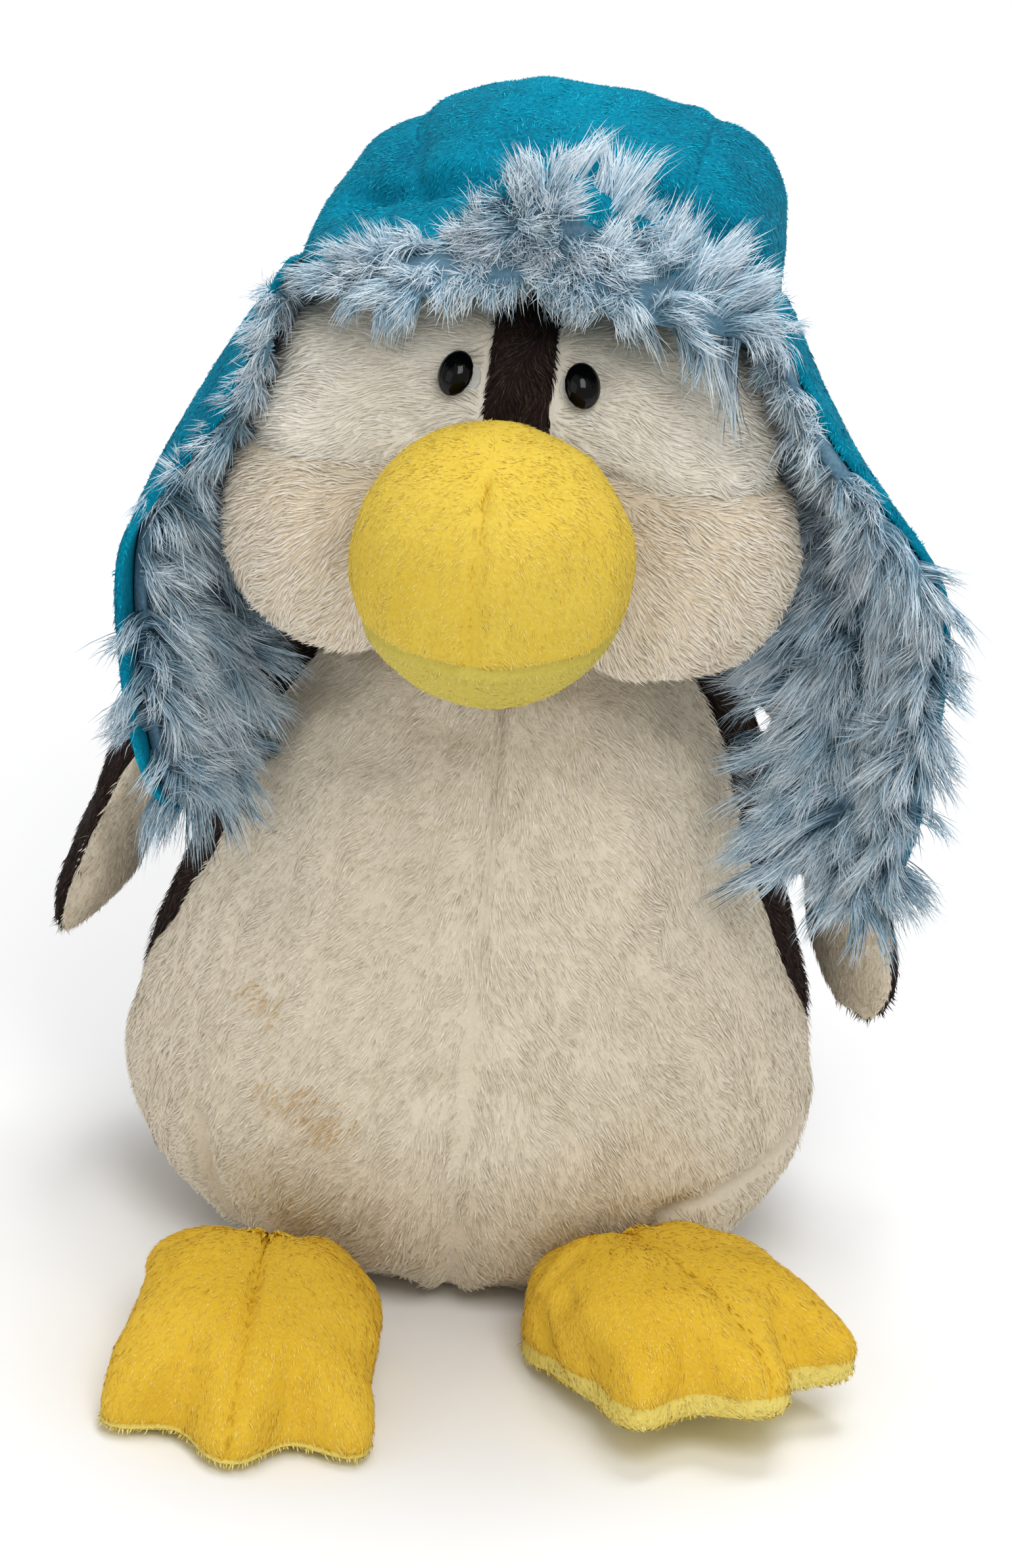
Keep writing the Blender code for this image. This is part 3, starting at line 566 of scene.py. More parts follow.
def torso_rings():
    """Points, regions and seams of the torso: belly left 0, right 1, back left 2, right 3, seat 4."""
    rows, front, behind, seat = 54, 30, 24, 6
    t = np.linspace(0, 1, rows)
    height, half = spline(BODY_PROFILE, t).T
    swing = smooth((SEAM_BEND - height) / SEAM_BEND)
    edge = SEAM_TOP + (SEAM_BOTTOM - SEAM_TOP) * swing
    u = np.linspace(0, 1, front, endpoint=False)
    w = np.linspace(0, 1, behind, endpoint=False)
    right = np.concatenate([edge[:, None] * u, edge[:, None] + (pi - edge[:, None]) * w], 1)
    turn = np.concatenate([right, np.full((rows, 1), pi), 2 * pi - right[:, :0:-1]], 1)
    columns = turn.shape[1]
    rings = np.stack([half[:, None] * np.sin(turn), BODY_CENTRE_Y - BODY_DEPTH * half[:, None] * np.cos(turn),
                      np.repeat(height[:, None], columns, 1)], -1)
    middle = np.array([0, BODY_CENTRE_Y, 0])
    under = [middle + (rings[0] - middle) * [s, s, 0] + [0, 0, 0.0002] for s in np.linspace(0.08, 0.94, seat)]
    rings = np.concatenate([np.array(under), rings])
    c = np.arange(columns)
    panel = np.select([c < front, c < front + behind, c < front + 2 * behind], [1, 3, 2], 0)
    regions = np.repeat(panel[None], len(rings) - 1, 0)
    regions[:seat] = 4
    seam = np.zeros(rings.shape[:2])
    for column in (0, front, front + behind, front + 2 * behind):
        seam[seat:, column] = 1
    seam[seat] = 0.8
    return Form("torso", rings, middle, [0, BODY_CENTRE_Y, 0.1925], regions, seam)


def groove(points, line, width, depth):
    """Offsets that draw a surface in along a line of points."""
    line = np.array(line, float)
    near = np.full(len(points), 1e9)
    for a, b in zip(line, line[1:]):
        d = b - a
        f = np.clip(((points - a) @ d) / (d @ d), 0, 1)[:, None]
        near = np.minimum(near, np.linalg.norm(points - a - f * d, axis=1))
    return -depth * np.exp(-(near / width) ** 2)


def torso_spot(turn, height):
    """A point of the torso's surface at a turn in degrees and a height."""
    rows = spline(BODY_PROFILE, np.linspace(0, 1, 300))
    half = float(np.interp(height, rows[:, 0], rows[:, 1]))
    a = radians(turn)
    return (half * sin(a), BODY_CENTRE_Y - BODY_DEPTH * half * cos(a), height)


STAINS = ((-0.043, 0.060, 0.009, 0.005), (-0.034, 0.055, 0.006, 0.006),
          (-0.053, 0.082, 0.005, 0.004))  # x, z, width, height


def torso():
    """Belly, back and seat with their pile."""
    form = torso_rings().inflate(cap=0.0035).refine(0.0018, 0.0012)
    darts = [[torso_spot(-50, h) for h in (0.008, 0.024, 0.044)],
             [torso_spot(30 + 260 * h, h) for h in (0.006, 0.02, 0.034)],
             [torso_spot(a, 0.026 + a * 0.00022) for a in (38, 52, 66, 80)]]
    move = 0.0009 * waves(form.points, 0.06, 3)[:, 0] + 0.0002 * waves(form.points, 0.022, 4)[:, 0]
    move *= smooth(form.points[:, 2] / 0.015)
    for dart in darts:
        move += groove(form.points, dart, 0.0030, 0.0042)
    form.carve(move)

    def comb(p, n):
        """Down and away from the middle."""
        out = 0.45 * np.sign(p[:, 0]) * smooth(np.abs(p[:, 0]) / 0.03) + 0.35 * np.sign(p[:, 0])
        return np.stack([out, 0 * out, -np.ones(len(p))], 1)

    def stains(p):
        """Spots of the faint marks low on one side."""
        shown = np.zeros(len(p), bool)
        chance = np.random.default_rng(19).random(len(p))
        for x, z, wide, tall in STAINS:
            near = np.exp(-((p[:, 0] - x) / wide) ** 2 - ((p[:, 2] - z) / tall) ** 2)
            shown |= (chance < 0.7 * near - 0.05) & (p[:, 1] < 0)
        return shown

    form.piece("seat_skin", [4], "cream", "torso", ["base_panel"])
    for side, number, behind in (("left", 0, 2), ("right", 1, 3)):
        belly = form.piece(f"belly_{side}", [number], "cream", "torso", [f"belly_panel_{side}"], 0.7)
        pile(f"belly_{side}_pile", belly, "cream", "torso", comb, 11 + number)
        if side == "left":
            pile("belly_marks_pile", belly, "stain", "torso", comb, 17, keep=stains, lift=16)
        back = form.piece(f"back_{side}", [behind], "brown", "torso", [f"back_panel_{side}"], 0.7)
        pile(f"back_{side}_pile", back, "brown", "torso", comb, 21 + number, lift=18)


# ---------------------------------------------------------------- head

NECK_PIVOT = np.array([0.004, 0, 0.187])
HEAD_TURN = np.array(Matrix.Rotation(radians(-5.5), 3, "Z") @ Matrix.Rotation(radians(-2.5), 3, "Y"))
HEAD_CENTRE = np.array([0, -0.008, 0.051])
HEAD_RADII = np.array([0.055, 0.0515, 0.0545])
CHEEK_CENTRE = np.array([0.040, -0.024, -0.020])
CHEEK_RADIUS = 0.0345
CHEEK_SHIFT = np.array([-0.0030, 0, 0])
TEMPLE_CENTRE = np.array([0.034, -0.010, 0.010])
TEMPLE_RADIUS = 0.031
HEAD_SIDE = radians(97)
STRIPE_HALF = 0.008
EYE = (radians(21.5), radians(36.5))   # azimuth and elevation
EYE_CLEARANCE = 0.0052                 # no pile nearer to an eye's middle than this
BEAK_CENTRE = np.array([0, -0.088, 0.051])
BEAK_RADIUS = 0.0365
MOUTH = asin(-0.013 / BEAK_RADIUS)


def from_head(p):
    """Points of the head's frame in the toy's frame."""
    return np.asarray(p, float) @ HEAD_TURN.T + NECK_PIVOT


def to_head(p):
    """Points of the toy's frame in the head's frame."""
    return (np.asarray(p, float) - NECK_PIVOT) @ HEAD_TURN


def turned(v):
    """Directions of the head's frame in the toy's frame."""
    return np.asarray(v, float) @ HEAD_TURN.T


def rays(azimuth, elevation):
    """Unit vectors: azimuth 0 points forward and grows towards +X."""
    azimuth, elevation = np.broadcast_arrays(azimuth, elevation)
    return np.stack([np.sin(azimuth) * np.cos(elevation), -np.cos(azimuth) * np.cos(elevation), np.sin(elevation)], -1)


def head_radius(ray):
    """Distance from the head's centre to its surface: an oval with two round cheeks."""
    total = np.sum((ray / HEAD_RADII) ** 2, -1) ** -5
    for ball, radius in ((CHEEK_CENTRE, CHEEK_RADIUS), (TEMPLE_CENTRE, TEMPLE_RADIUS)):
        for sign in (-1, 1):
            middle = ball * [sign, 1, 1] + CHEEK_SHIFT
            along = ray @ middle
            under = along ** 2 - middle @ middle + radius ** 2
            reach = along + np.sqrt(np.maximum(under, 0))
            total = total + np.where((under > 0) & (along > 0), np.maximum(reach, 0) ** 10, 0)
    return total ** 0.1


def poles(centre, height):
    """The points straight below and above a centre."""
    return from_head([centre - [0, 0, height], centre + [0, 0, height]])


def eye_seats():
    """Where the eyes' middles lie on the head's surface, in the head's frame."""
    aims = [rays(sign * EYE[0], EYE[1]) for _, sign in SIDES]
    return [HEAD_CENTRE + aim * head_radius(aim) for aim in aims]


def head_rings():
    """Regions: cheek left 0, right 1, brow left 2, right 3, stripe 4, back left 5, right 6."""
    stripe, front, behind, low, high = 4, 20, 13, 20, 22
    side = np.concatenate([np.linspace(0, 1, stripe, endpoint=False),
                           1 + np.linspace(0, 1, front, endpoint=False), 2 + np.linspace(0, 1, behind + 1)])
    rows = np.concatenate([np.linspace(-1, 0, low, endpoint=False), np.linspace(0, 1, high)])[:, None]
    rough = np.clip(side - 1, 0, 1) * HEAD_SIDE
    seam_line = radians(12) - radians(12) * smooth(rough / HEAD_SIDE)
    elevation = seam_line + rows * np.where(rows < 0, radians(86) + seam_line, radians(86) - seam_line)
    edge = np.arcsin(np.minimum(0.9, STRIPE_HALF / (HEAD_RADII[1] * np.cos(np.maximum(elevation, radians(12))))))
    azimuth = np.where(side < 1, side * edge, edge + (HEAD_SIDE - edge) * (side - 1))
    azimuth = np.where(side < 2, azimuth, HEAD_SIDE + (pi - HEAD_SIDE) * (side - 2))
    azimuth = np.concatenate([azimuth, -azimuth[:, -2:0:-1]], 1)
    elevation = np.concatenate([elevation, elevation[:, -2:0:-1]], 1)
    ray = rays(azimuth, elevation)
    rings = from_head(HEAD_CENTRE + ray * head_radius(ray)[..., None])
    half = stripe + front + behind
    c = np.arange(2 * half)
    right = c < half
    step = np.where(right, c, 2 * half - 1 - c)
    back = np.where(right, 6, 5)
    lower = np.where(step < stripe + front, np.where(right, 1, 0), back)
    upper = np.select([step < stripe, step < stripe + front], [np.full(2 * half, 4), np.where(right, 3, 2)], back)
    regions = np.stack([lower] * low + [upper] * (high - 1))
    seam = np.zeros(rings.shape[:2])
    for column in (stripe, 2 * half - stripe):
        seam[low:, column] = 0.7
    for column in (stripe + front, 2 * half - stripe - front, half):
        seam[:, column] = 1
    seam[low, :stripe + front] = 1
    seam[low, 2 * half - stripe - front:] = 1
    seam[:low, 0] = 0.8
    return Form("head", rings, *poles(HEAD_CENTRE, HEAD_RADII[2]), regions, seam)


def head():
    """Face, cheeks and back of the head."""
    form = head_rings().inflate(cap=0.0025).refine(0.0026, 0.0032)
    p = to_head(form.points)
    move = 0.0008 * waves(form.points, 0.03, 31)[:, 0]
    for seat in eye_seats():
        far = np.linalg.norm(p - seat, axis=1)
        move += -0.0022 * np.exp(-(far / 0.0065) ** 2) + 0.0016 * np.exp(-((far - 0.013) / 0.006) ** 2)
    form.carve(move)

    def comb_face(q, n):
        """Outwards from the stripe and down."""
        local = to_head(q)
        sign = np.sign(local[:, 0])
        return turned(np.stack([sign * 0.9, 0.5 + 0 * sign, -0.55 + 0 * sign], 1))

    def comb_cheek(q, n):
        """Away from the beak and a little down."""
        return turned(unit(to_head(q) - (BEAK_CENTRE + [0, 0.02, 0.012]))) + turned([0, 0, -0.35])

    def show(q):
        """Spots that neither the hat nor an eye hides."""
        local = to_head(q)
        under = local[:, 2] > HAT_RIM + 0.010 - HAT_SLOPE * local[:, 1]
        clear = np.linalg.norm(local - BEAK_CENTRE, axis=1) > BEAK_RADIUS - 0.002
        for seat in eye_seats():
            clear &= np.linalg.norm(local - seat, axis=1) > EYE_CLEARANCE
        return clear & ~under

    def painted_shade_cheek(q):
        """Painted shade: darker round the beak and low down, where the cheek meets the beak."""
        local = to_head(q)
        near = np.linalg.norm(local - BEAK_CENTRE, axis=1) - BEAK_RADIUS
        return 0.3 - 1.5 * np.exp(-np.maximum(near, 0) / 0.008)

    for side, cheek, brow, behind in (("left", 0, 2, 5), ("right", 1, 3, 6)):
        skin = form.piece(f"cheek_skin_{side}", [cheek], "blush", "head", [f"cheek_{side}"], 0.8)
        pile(f"cheek_pile_{side}", skin, "blush", "head", comb_cheek, 31 + cheek, length=0.0048, lift=16,
             spacing=0.00095, keep=show, shade=painted_shade_cheek)
        skin = form.piece(f"brow_skin_{side}", [brow], "white", "head", [f"brow_panel_{side}"], 0.8)
        pile(f"brow_pile_{side}", skin, "white", "head", comb_face, 33 + brow, length=0.0048, lift=17,
             spacing=0.00095, keep=show)
        skin = form.piece(f"head_back_skin_{side}", [behind], "brown", "head", [f"head_back_{side}"], 0.8)
        pile(f"head_back_pile_{side}", skin, "brown", "head", comb_down, 35 + behind, keep=show)
    skin = form.piece("stripe_skin", [4], "brown", "head", ["forehead_stripe"])
    pile("stripe_pile", skin, "brown", "head", comb_down, 39, length=0.0045, spacing=0.0009, keep=show)


def beak():
    """A ball in two upper halves and a paler lower piece, its yellow darkened with painted shade for the underside."""
    half, low, high = 32, 14, 24
    azimuth = np.linspace(0, 2 * pi, 2 * half, endpoint=False)
    elevation = np.concatenate([np.linspace(radians(-85), MOUTH, low, endpoint=False),
                                np.linspace(MOUTH, radians(85), high)])
    ray = rays(azimuth[None], elevation[:, None])
    rings = from_head(BEAK_CENTRE + ray * BEAK_RADIUS)
    c = np.arange(2 * half)
    regions = np.stack([np.full(2 * half, 2)] * low + [np.where(c < half, 1, 0)] * (high - 1))
    seam = np.zeros(rings.shape[:2])
    seam[low, :half // 2] = seam[low, -half // 2:] = 0.8
    seam[low:-5, 0] = 1
    form = Form("beak", rings, *poles(BEAK_CENTRE, BEAK_RADIUS), regions, seam)
    form.inflate(cap=0.0012).refine(0.0017, 0.0016)
    form.carve(0.0004 * waves(form.points, 0.02, 41)[:, 0])

    def comb(q, n):
        """Down and away from the seam."""
        local = to_head(q) - BEAK_CENTRE
        sign = np.sign(local[:, 0])
        return turned(np.stack([sign * 0.5, 0.4 * (local[:, 2] > 0.02), -1 + 0 * sign], 1))

    def show(q):
        """Spots in front of the face."""
        return to_head(q)[:, 1] < -0.052

    def shade(q):
        """Painted shade: deeper yellow on top, where the pile takes the light differently; also darker along the seam.
        """
        local = (to_head(q) - BEAK_CENTRE) / BEAK_RADIUS
        # the darker top is painted shade
        top = smooth((local[:, 2] - 0.62) / 0.3)
        seam_near = np.exp(-(local[:, 0] * BEAK_RADIUS / 0.0012) ** 2) * (local[:, 2] < 0.9)
        return 0.3 - 0.7 * top - 2.6 * seam_near

    for side, number in (("left", 0), ("right", 1)):
        skin = form.piece(f"beak_skin_{side}", [number], "yellow", "head", [f"beak_upper_{side}"], 0.9)
        pile(f"beak_pile_{side}", skin, "yellow", "head", comb, 43 + number, length=0.0022, spacing=0.00075,
             width=0.00032, keep=show, shade=shade, swirl=0.004)
    skin = form.piece("beak_skin_lower", [2], "pale_yellow", "head", ["beak_lower"], 0.9)
    pile("beak_pile_lower", skin, "pale_yellow", "head", comb, 46, length=0.0021, spacing=0.0008, width=0.00034,
         keep=show, swirl=0.004)


# ---------------------------------------------------------------- hat

HAT_CENTRE = np.array([0, 0.003, 0.082])
HAT_RADII = np.array([0.062, 0.056, 0.053])
HAT_RIM = 0.088
HAT_SLOPE = 0.44
GUSSET = 0.037


def hat_radius(ray):
    """Distance from the crown's centre to its outer face."""
    return np.sum(np.abs(ray / HAT_RADII) ** 3, -1) ** (-1 / 3)


def sloped(p):
    """The slack crown's real outline: sunk on top, its sides leaning in, more on one side."""
    p = np.array(p, float)
    high = smooth((p[..., 2] - 0.086) / 0.046)
    lean = np.where(p[..., 0] < 0, 0.30 * high, 0.07)
    p[..., 0] = p[..., 0] * (1 - lean) + 0.003 * high
    p[..., 2] -= 0.0065 * smooth((p[..., 2] - 0.100) / 0.03)
    return p


def crown():
    """Folded crown, its seams at the gusset, its pile."""
    columns, rows = 120, 46
    azimuth = np.linspace(0, 2 * pi, columns, endpoint=False)
    low, high = np.full(columns, radians(-50)), np.full(columns, radians(70))
    for _ in range(30):
        middle = (low + high) / 2
        ray = rays(azimuth, middle)
        point = HAT_CENTRE + ray * hat_radius(ray)[:, None]
        arch = 0.008 * np.exp(-(point[:, 0] / 0.020) ** 2) * (point[:, 1] < 0)
        over = point[:, 2] > HAT_RIM - 0.004 - HAT_SLOPE * point[:, 1] + arch
        high, low = np.where(over, middle, high), np.where(over, low, middle)
    s = np.linspace(0, 1, rows)[:, None]
    elevation = low + (radians(88) - low) * s
    ray = rays(azimuth[None], elevation)
    local = HAT_CENTRE + ray * hat_radius(ray)[..., None]
    flat = sloped(local.reshape(-1, 3))
    seams = np.exp(-((np.abs(flat[:, 0]) - GUSSET) / 0.0022) ** 2)
    move = -0.0016 * seams + 0.0010 * waves(flat, 0.045, 51)[:, 0] + 0.0004 * waves(flat, 0.018, 52)[:, 0]
    for fold, width, depth in HAT_FOLDS:
        azimuths, elevations = np.radians(spline(fold, np.linspace(0, 1, 24))).T
        aim = rays(azimuths, elevations)
        line = sloped(HAT_CENTRE + aim * hat_radius(aim)[:, None])
        move += groove(flat, line, width, depth)
    rim = np.repeat(s, columns, 1).ravel()
    apex = sloped(HAT_CENTRE + [[0, 0, HAT_RADII[2]]])
    local = np.concatenate([flat + ray.reshape(-1, 3) * (move * smooth(rim * 8))[:, None], apex])
    c = np.arange(columns)
    last = (rows - 1) * columns
    cap = np.stack([last + c, last + (c + 1) % columns, np.full(columns, rows * columns)], 1)
    shell = mesh_object("crown_shell", from_head(local), [grid_faces(rows, columns, True), cap])
    mesh = subdivided(shell)
    points, normals, quads = coordinates(mesh), vertex_normals(mesh), mesh_quads(mesh)
    bpy.data.objects.remove(shell)
    middle = to_head(points[quads].mean(1))
    for name, keep in (("left", middle[:, 0] < -GUSSET), ("centre", np.abs(middle[:, 0]) <= GUSSET),
                       ("right", middle[:, 0] > GUSSET)):
        used, small = np.unique(quads[keep], return_inverse=True)
        made = mesh_object(f"crown_{name}", points[used], [small.reshape(-1, 4)], None, [skins["teal"]])
        thick = made.modifiers.new("cloth", "SOLIDIFY")
        thick.thickness, thick.offset = 0.0022, -1
        final = evaluated(made)
        final.shade_smooth()
        made.modifiers.clear()
        made.data = final
        finish_piece(made, "head", [f"hat_crown_{name}"])
        pile(f"crown_pile_{name}", Patch(points, normals, quads[keep]), "teal", "head", comb_hat,
             53 + len(name), **TEAL_PILE)


def comb_down(q, n):
    """Down along the head's own axis."""
    return np.repeat(turned([[0, 0, -1.0]]), len(q), 0)


def comb_hat(q, n):
    """Outwards from the top."""
    local = to_head(q) - HAT_CENTRE
    return turned(np.stack([local[:, 0] / 0.05, local[:, 1] / 0.05, -np.ones(len(q))], 1))


HAT_FOLDS = [  # azimuth and elevation of points on the crown, width, depth
    ([(-86, 22), (-70, 40), (-52, 55), (-26, 65), (8, 68)], 0.0060, 0.0080),
    ([(14, 74), (36, 62), (54, 48), (64, 33), (69, 18)], 0.0055, 0.0095),
    ([(-60, 66), (-20, 76), (30, 80)], 0.0050, 0.0030),
]

BROW_TURN = radians(56)
BROW_BOTTOM = 0.1095
BROW_CLOTH = {"height": 0.031, "end": 0.32}
BROW_FUR = {"height": 0.025, "end": 0.62}


def brow_bottom(u):
    """Height of the flap's lower edge."""
    return BROW_BOTTOM + 0.008 * np.exp(-(u / 0.38) ** 2) - np.where(u < 0, 0.010, 0.015) * np.abs(u) ** 2.2


def brow_point(u, v, offset, height, end):
    """The turned-up flap: u from -1 left to 1 right, v from 0 at the fold to 1 at its upper edge.

    offset is its distance from the crown, and end is how much lower it is at its ends.
    """
    azimuth = u * BROW_TURN * np.where(u < 0, 0.92, 1)
    left = np.where(u < 0, 1.0, 0.75)
    z = brow_bottom(u) + height * (1 - end * left * np.abs(u) ** 1.6) * v
    rise = np.clip((z - HAT_CENTRE[2]) / (HAT_RADII[2] - 0.004), 0, 0.86)
    level = (1 - rise ** 3) ** (1 / 3)
    across, ahead = np.abs(np.sin(azimuth) / HAT_RADII[0]), np.abs(np.cos(azimuth) / HAT_RADII[1])
    flat = (across ** 3 + ahead ** 3) ** (-1 / 3)
    reach = level * flat + offset * (1 - 0.55 * u ** 2)
    return sloped(np.stack([np.sin(azimuth) * reach, HAT_CENTRE[1] - np.cos(azimuth) * reach, z], -1))


def slab(name, face, back, colour, body, replaced, blend, inside=False):
    """A soft closed band between two grids of points, with a rolled edge. Pile grows on the face and the edge.

    inside says whether it grows on the back too.
    """
    rows, columns = face.shape[:2]
    n = rows * columns
    quads = grid_faces(rows, columns, False)
    outline = np.concatenate([np.arange(columns), np.arange(1, rows) * columns + columns - 1,
                              (rows - 1) * columns + np.arange(columns - 2, -1, -1),
                              np.arange(rows - 2, 0, -1) * columns])
    after = np.roll(outline, -1)
    sides = np.stack([after, outline, outline + n, after + n], 1)
    shell = mesh_object(name, np.concatenate([face.reshape(-1, 3), back.reshape(-1, 3)]),
                        [np.concatenate([quads, quads[:, ::-1] + n, sides])])
    mesh = subdivided(shell)
    mesh.shade_smooth()
    points, normals = coordinates(mesh), vertex_normals(mesh)
    if np.sum(normals * (points - ((face + back) / 2).reshape(-1, 3).mean(0))) < 0:
        mesh.flip_normals()
        normals = -normals
    grown = mesh_quads(mesh)
    bpy.data.objects.remove(shell)
    mesh.materials.append(skins[colour])
    finish_piece(placed(name, mesh), body, replaced, blend)
    share = 4 * len(quads)  # each quad became four
    if not inside:
        grown = np.concatenate([grown[:share], grown[2 * share:]])
    return Patch(points, normals, grown)


def brow_flap():
    """The flap turned up over the forehead: teal cloth behind, long fur in front."""
    u, v = np.meshgrid(np.linspace(-1, 1, 60), np.linspace(0, 1, 14))
    hinge = [from_head([0, -0.056, z]).tolist() for z in (0.1060, 0.1125)]
    join = ("head", hinge[0], hinge[1])
    roll = 0.007 * np.sin(np.clip(v, 0, 1) * pi * 0.85)
    face = from_head(brow_point(u, v, 0.0050 + roll, **BROW_CLOTH))
    back = from_head(brow_point(u, v, 0.0002, **BROW_CLOTH))
    cover = slab("brow_flap_cloth", face, back, "teal", "brow_flap", ["brow_flap_cover"], join, inside=True)
    pile("brow_flap_pile", cover, "teal", "brow_flap", comb_hat, 71, blend=join, **TEAL_PILE)
    face = from_head(brow_point(u, v, 0.0110 + 0.002 * np.sin(v * pi), **BROW_FUR))
    back = from_head(brow_point(u, v, 0.0066, **BROW_FUR))
    base = slab("brow_flap_fur_base", face, back, "ice", "brow_flap", ["brow_flap_fur"], join)

    def flow(q, n):
        """Up at the top, hanging at the bottom, outwards at the ends."""
        local = to_head(q)
        u = local[:, 0] / 0.050
        tall = BROW_FUR["height"] * (1 - 0.72 * np.minimum(np.abs(u), 1) ** 1.6)
        v = (local[:, 2] - brow_bottom(np.clip(u, -1, 1))) / tall
        rise = np.clip(v - 0.35, -0.5, 0.65) * 2.2
        right = np.clip(u - 0.35, 0, 1)
        back = 0.9 * smooth((v - 0.5) / 0.4)
        start = n * 0.8 + turned(np.stack([0.3 * u, back - 0.2, rise * 0.5], 1))
        fall = rise * 0.8 - 1.6 * right - 0.5 * np.clip(-u, 0, 1)
        droop = turned(np.stack([0.7 * u, back - 0.25, fall], 1)) + n * 0.3
        peak = np.exp(-((local[:, 0] - 0.012) / 0.013) ** 2) * smooth((v - 0.45) / 0.4)
        share = 0.66 + 0.50 * peak + 0.25 * right - 0.30 * (v < 0.3) * (np.abs(u) < 0.5)
        return start, droop, share[:, None]

    locks("brow_flap_fur_locks", base, "ice", "brow_flap", flow, 73, blend=join)


EAR_HALF_WIDTH = 0.0265
EAR_LINES = {
    "left": ([(0.0655, -0.008, 0.0880), (0.082, -0.014, 0.058), (0.0935, -0.022, 0.026),
              (0.0920, -0.027, -0.012), (0.0870, -0.030, -0.052)], radians(34)),
    "right": ([(0.0625, -0.006, 0.0880), (0.077, -0.005, 0.056), (0.0890, -0.007, 0.022),
               (0.090, -0.013, -0.018), (0.088, -0.020, -0.064)], radians(56)),
}
EAR_CURL = {"left": 0.007, "right": 0.0}                      # how far the front edge rolls inwards
FUR_LEAN = {"left": (1.3, 0.0), "right": (0.3, 1.0)}          # out over the front edge, at the top and low down
EAR_FUR_EDGE = {"left": (1.02, 0.66), "right": (1.04, 1.04)}  # the fur's front edge at the top and low down


def ear_point(side, sign, u, v, offset):
    """An ear flap: u across from -1 to 1, v from 0 at the rim to 1 at the tip, offset inwards."""
    line, turn = EAR_LINES[side]
    centre = spline(line, v)
    ahead = spline(line, np.minimum(v + 0.02, 1)) - spline(line, np.maximum(v - 0.02, 0))
    yaw = turn * smooth(v * 1.9)
    across = np.stack([np.sin(yaw), -np.cos(yaw), 0 * yaw], -1)
    width = EAR_HALF_WIDTH * (0.86 + 0.14 * smooth(v * 3)) * np.sqrt(1 - 0.93 * v ** 7)
    inward = unit(np.cross(across, ahead))
    inward = inward * -np.sign(inward[..., :1])
    bow = 0.004 * u ** 2 + EAR_CURL[side] * smooth((u - 0.1) / 0.9)
    depth = offset * (0.62 + 0.38 * smooth(v * 5)) + bow * smooth(v * 4)
    point = centre + across * (u * width)[..., None] + inward * depth[..., None]
    point[..., 2] -= HAT_SLOPE * across[..., 1] * u * width * (1 - smooth(v * 2.2))
    return from_head(point * [sign, 1, 1]), turned(inward * [sign, 1, 1])


def ear_flap(side, sign):
    """A hanging flap: teal cloth outside, long fur inside."""
    u, v = np.meshgrid(np.linspace(-1, 1, 26), np.linspace(0, 1, 48))
    line, yaw = EAR_LINES[side]
    top = np.array(line[0]) * [sign, 1, 1]
    join = ("head", *(from_head(top + [0, 0, rise]).tolist() for rise in (0.004, -0.010)))
    body = f"ear_flap_{side}"
    outer, _ = ear_point(side, sign, u, v, 0.0)
    inner, _ = ear_point(side, sign, u, v, 0.0030)
    # the cloth's upper edge is tucked into the crown's rim
    lift = (1 - smooth(v * 9))[..., None] * turned(np.array([-sign * 0.004, 0, 0.004]))
    cloth = slab(f"{body}_cloth", outer + lift, inner + lift, "teal", body, [f"{body}_cover"], join)
    pile(f"{body}_pile", cloth, "teal", body, comb_down, 81 + sign, blend=join, **TEAL_PILE)
    high_edge, low_edge = EAR_FUR_EDGE[side]
    edge = high_edge + (low_edge - high_edge) * smooth(v * 2.4)
    across = -0.95 + (u + 1) / 2 * (0.95 + edge)
    face, inward = ear_point(side, sign, across, 0.04 + 0.95 * v, 0.0075)
    back, _ = ear_point(side, sign, across, 0.04 + 0.95 * v, 0.0034)
    base = slab(f"{body}_fur_base", face, back, "ice", body, [f"{body}_fur"], join)
    lean = turned(np.array([sign * 1.0, -0.35, 0]))
    path = spline(line, np.linspace(0, 1, 60))[::-1]

    def place(q):
        """Share of the half width, from the back edge to the front one, and how low on the flap."""
        local = to_head(q) * [sign, 1, 1]
        middle = np.stack([np.interp(local[:, 2], path[:, 2], path[:, k]) for k in (0, 1)], 1)
        share = np.clip((local[:, :2] - middle) @ [sin(yaw), -cos(yaw)] / EAR_HALF_WIDTH, -1, 1.1)
        return share[:, None], smooth((0.075 - local[:, 2:]) / 0.06)

    def flow(q, n):
        """Out of the flap's inner face, hanging, and over its edges."""
        down = turned([[0, 0, -1.0]])
        ahead = turned([[0, -1.0, 0]])
        share, low = place(q)
        high_lean, low_lean = FUR_LEAN[side]
        out = lean * np.where(share > 0, high_lean * (1 - low) + low_lean * low, 1.3 * share * low)
        rim = smooth((share - 0.3) / 0.5) * (1 - low) * min(high_lean, 1)
        start = n * (1 - 0.85 * rim) + (0.3 + 0.5 * rim) * ahead + (0.4 + 0.4 * rim) * out
        droop = n * (0.7 - 0.7 * rim) + down * 0.75 + 0.25 * ahead + (0.5 + 0.4 * rim) * out
        return start, droop, 0.45 + 0.45 * low + 0.15 * np.maximum(-share, 0) * low

    def keep(q):
        """All but the rim next to a rolled front edge."""
        share, low = place(q)
        return ~((share > low_edge - 0.01) & (low > 0.4) & (low_edge < 1)).ravel()

    locks(f"{body}_fur_locks", base, "ice", body, flow, 85 + sign, spacing=0.0036, blend=join, keep=keep)


# ---------------------------------------------------------------- wings

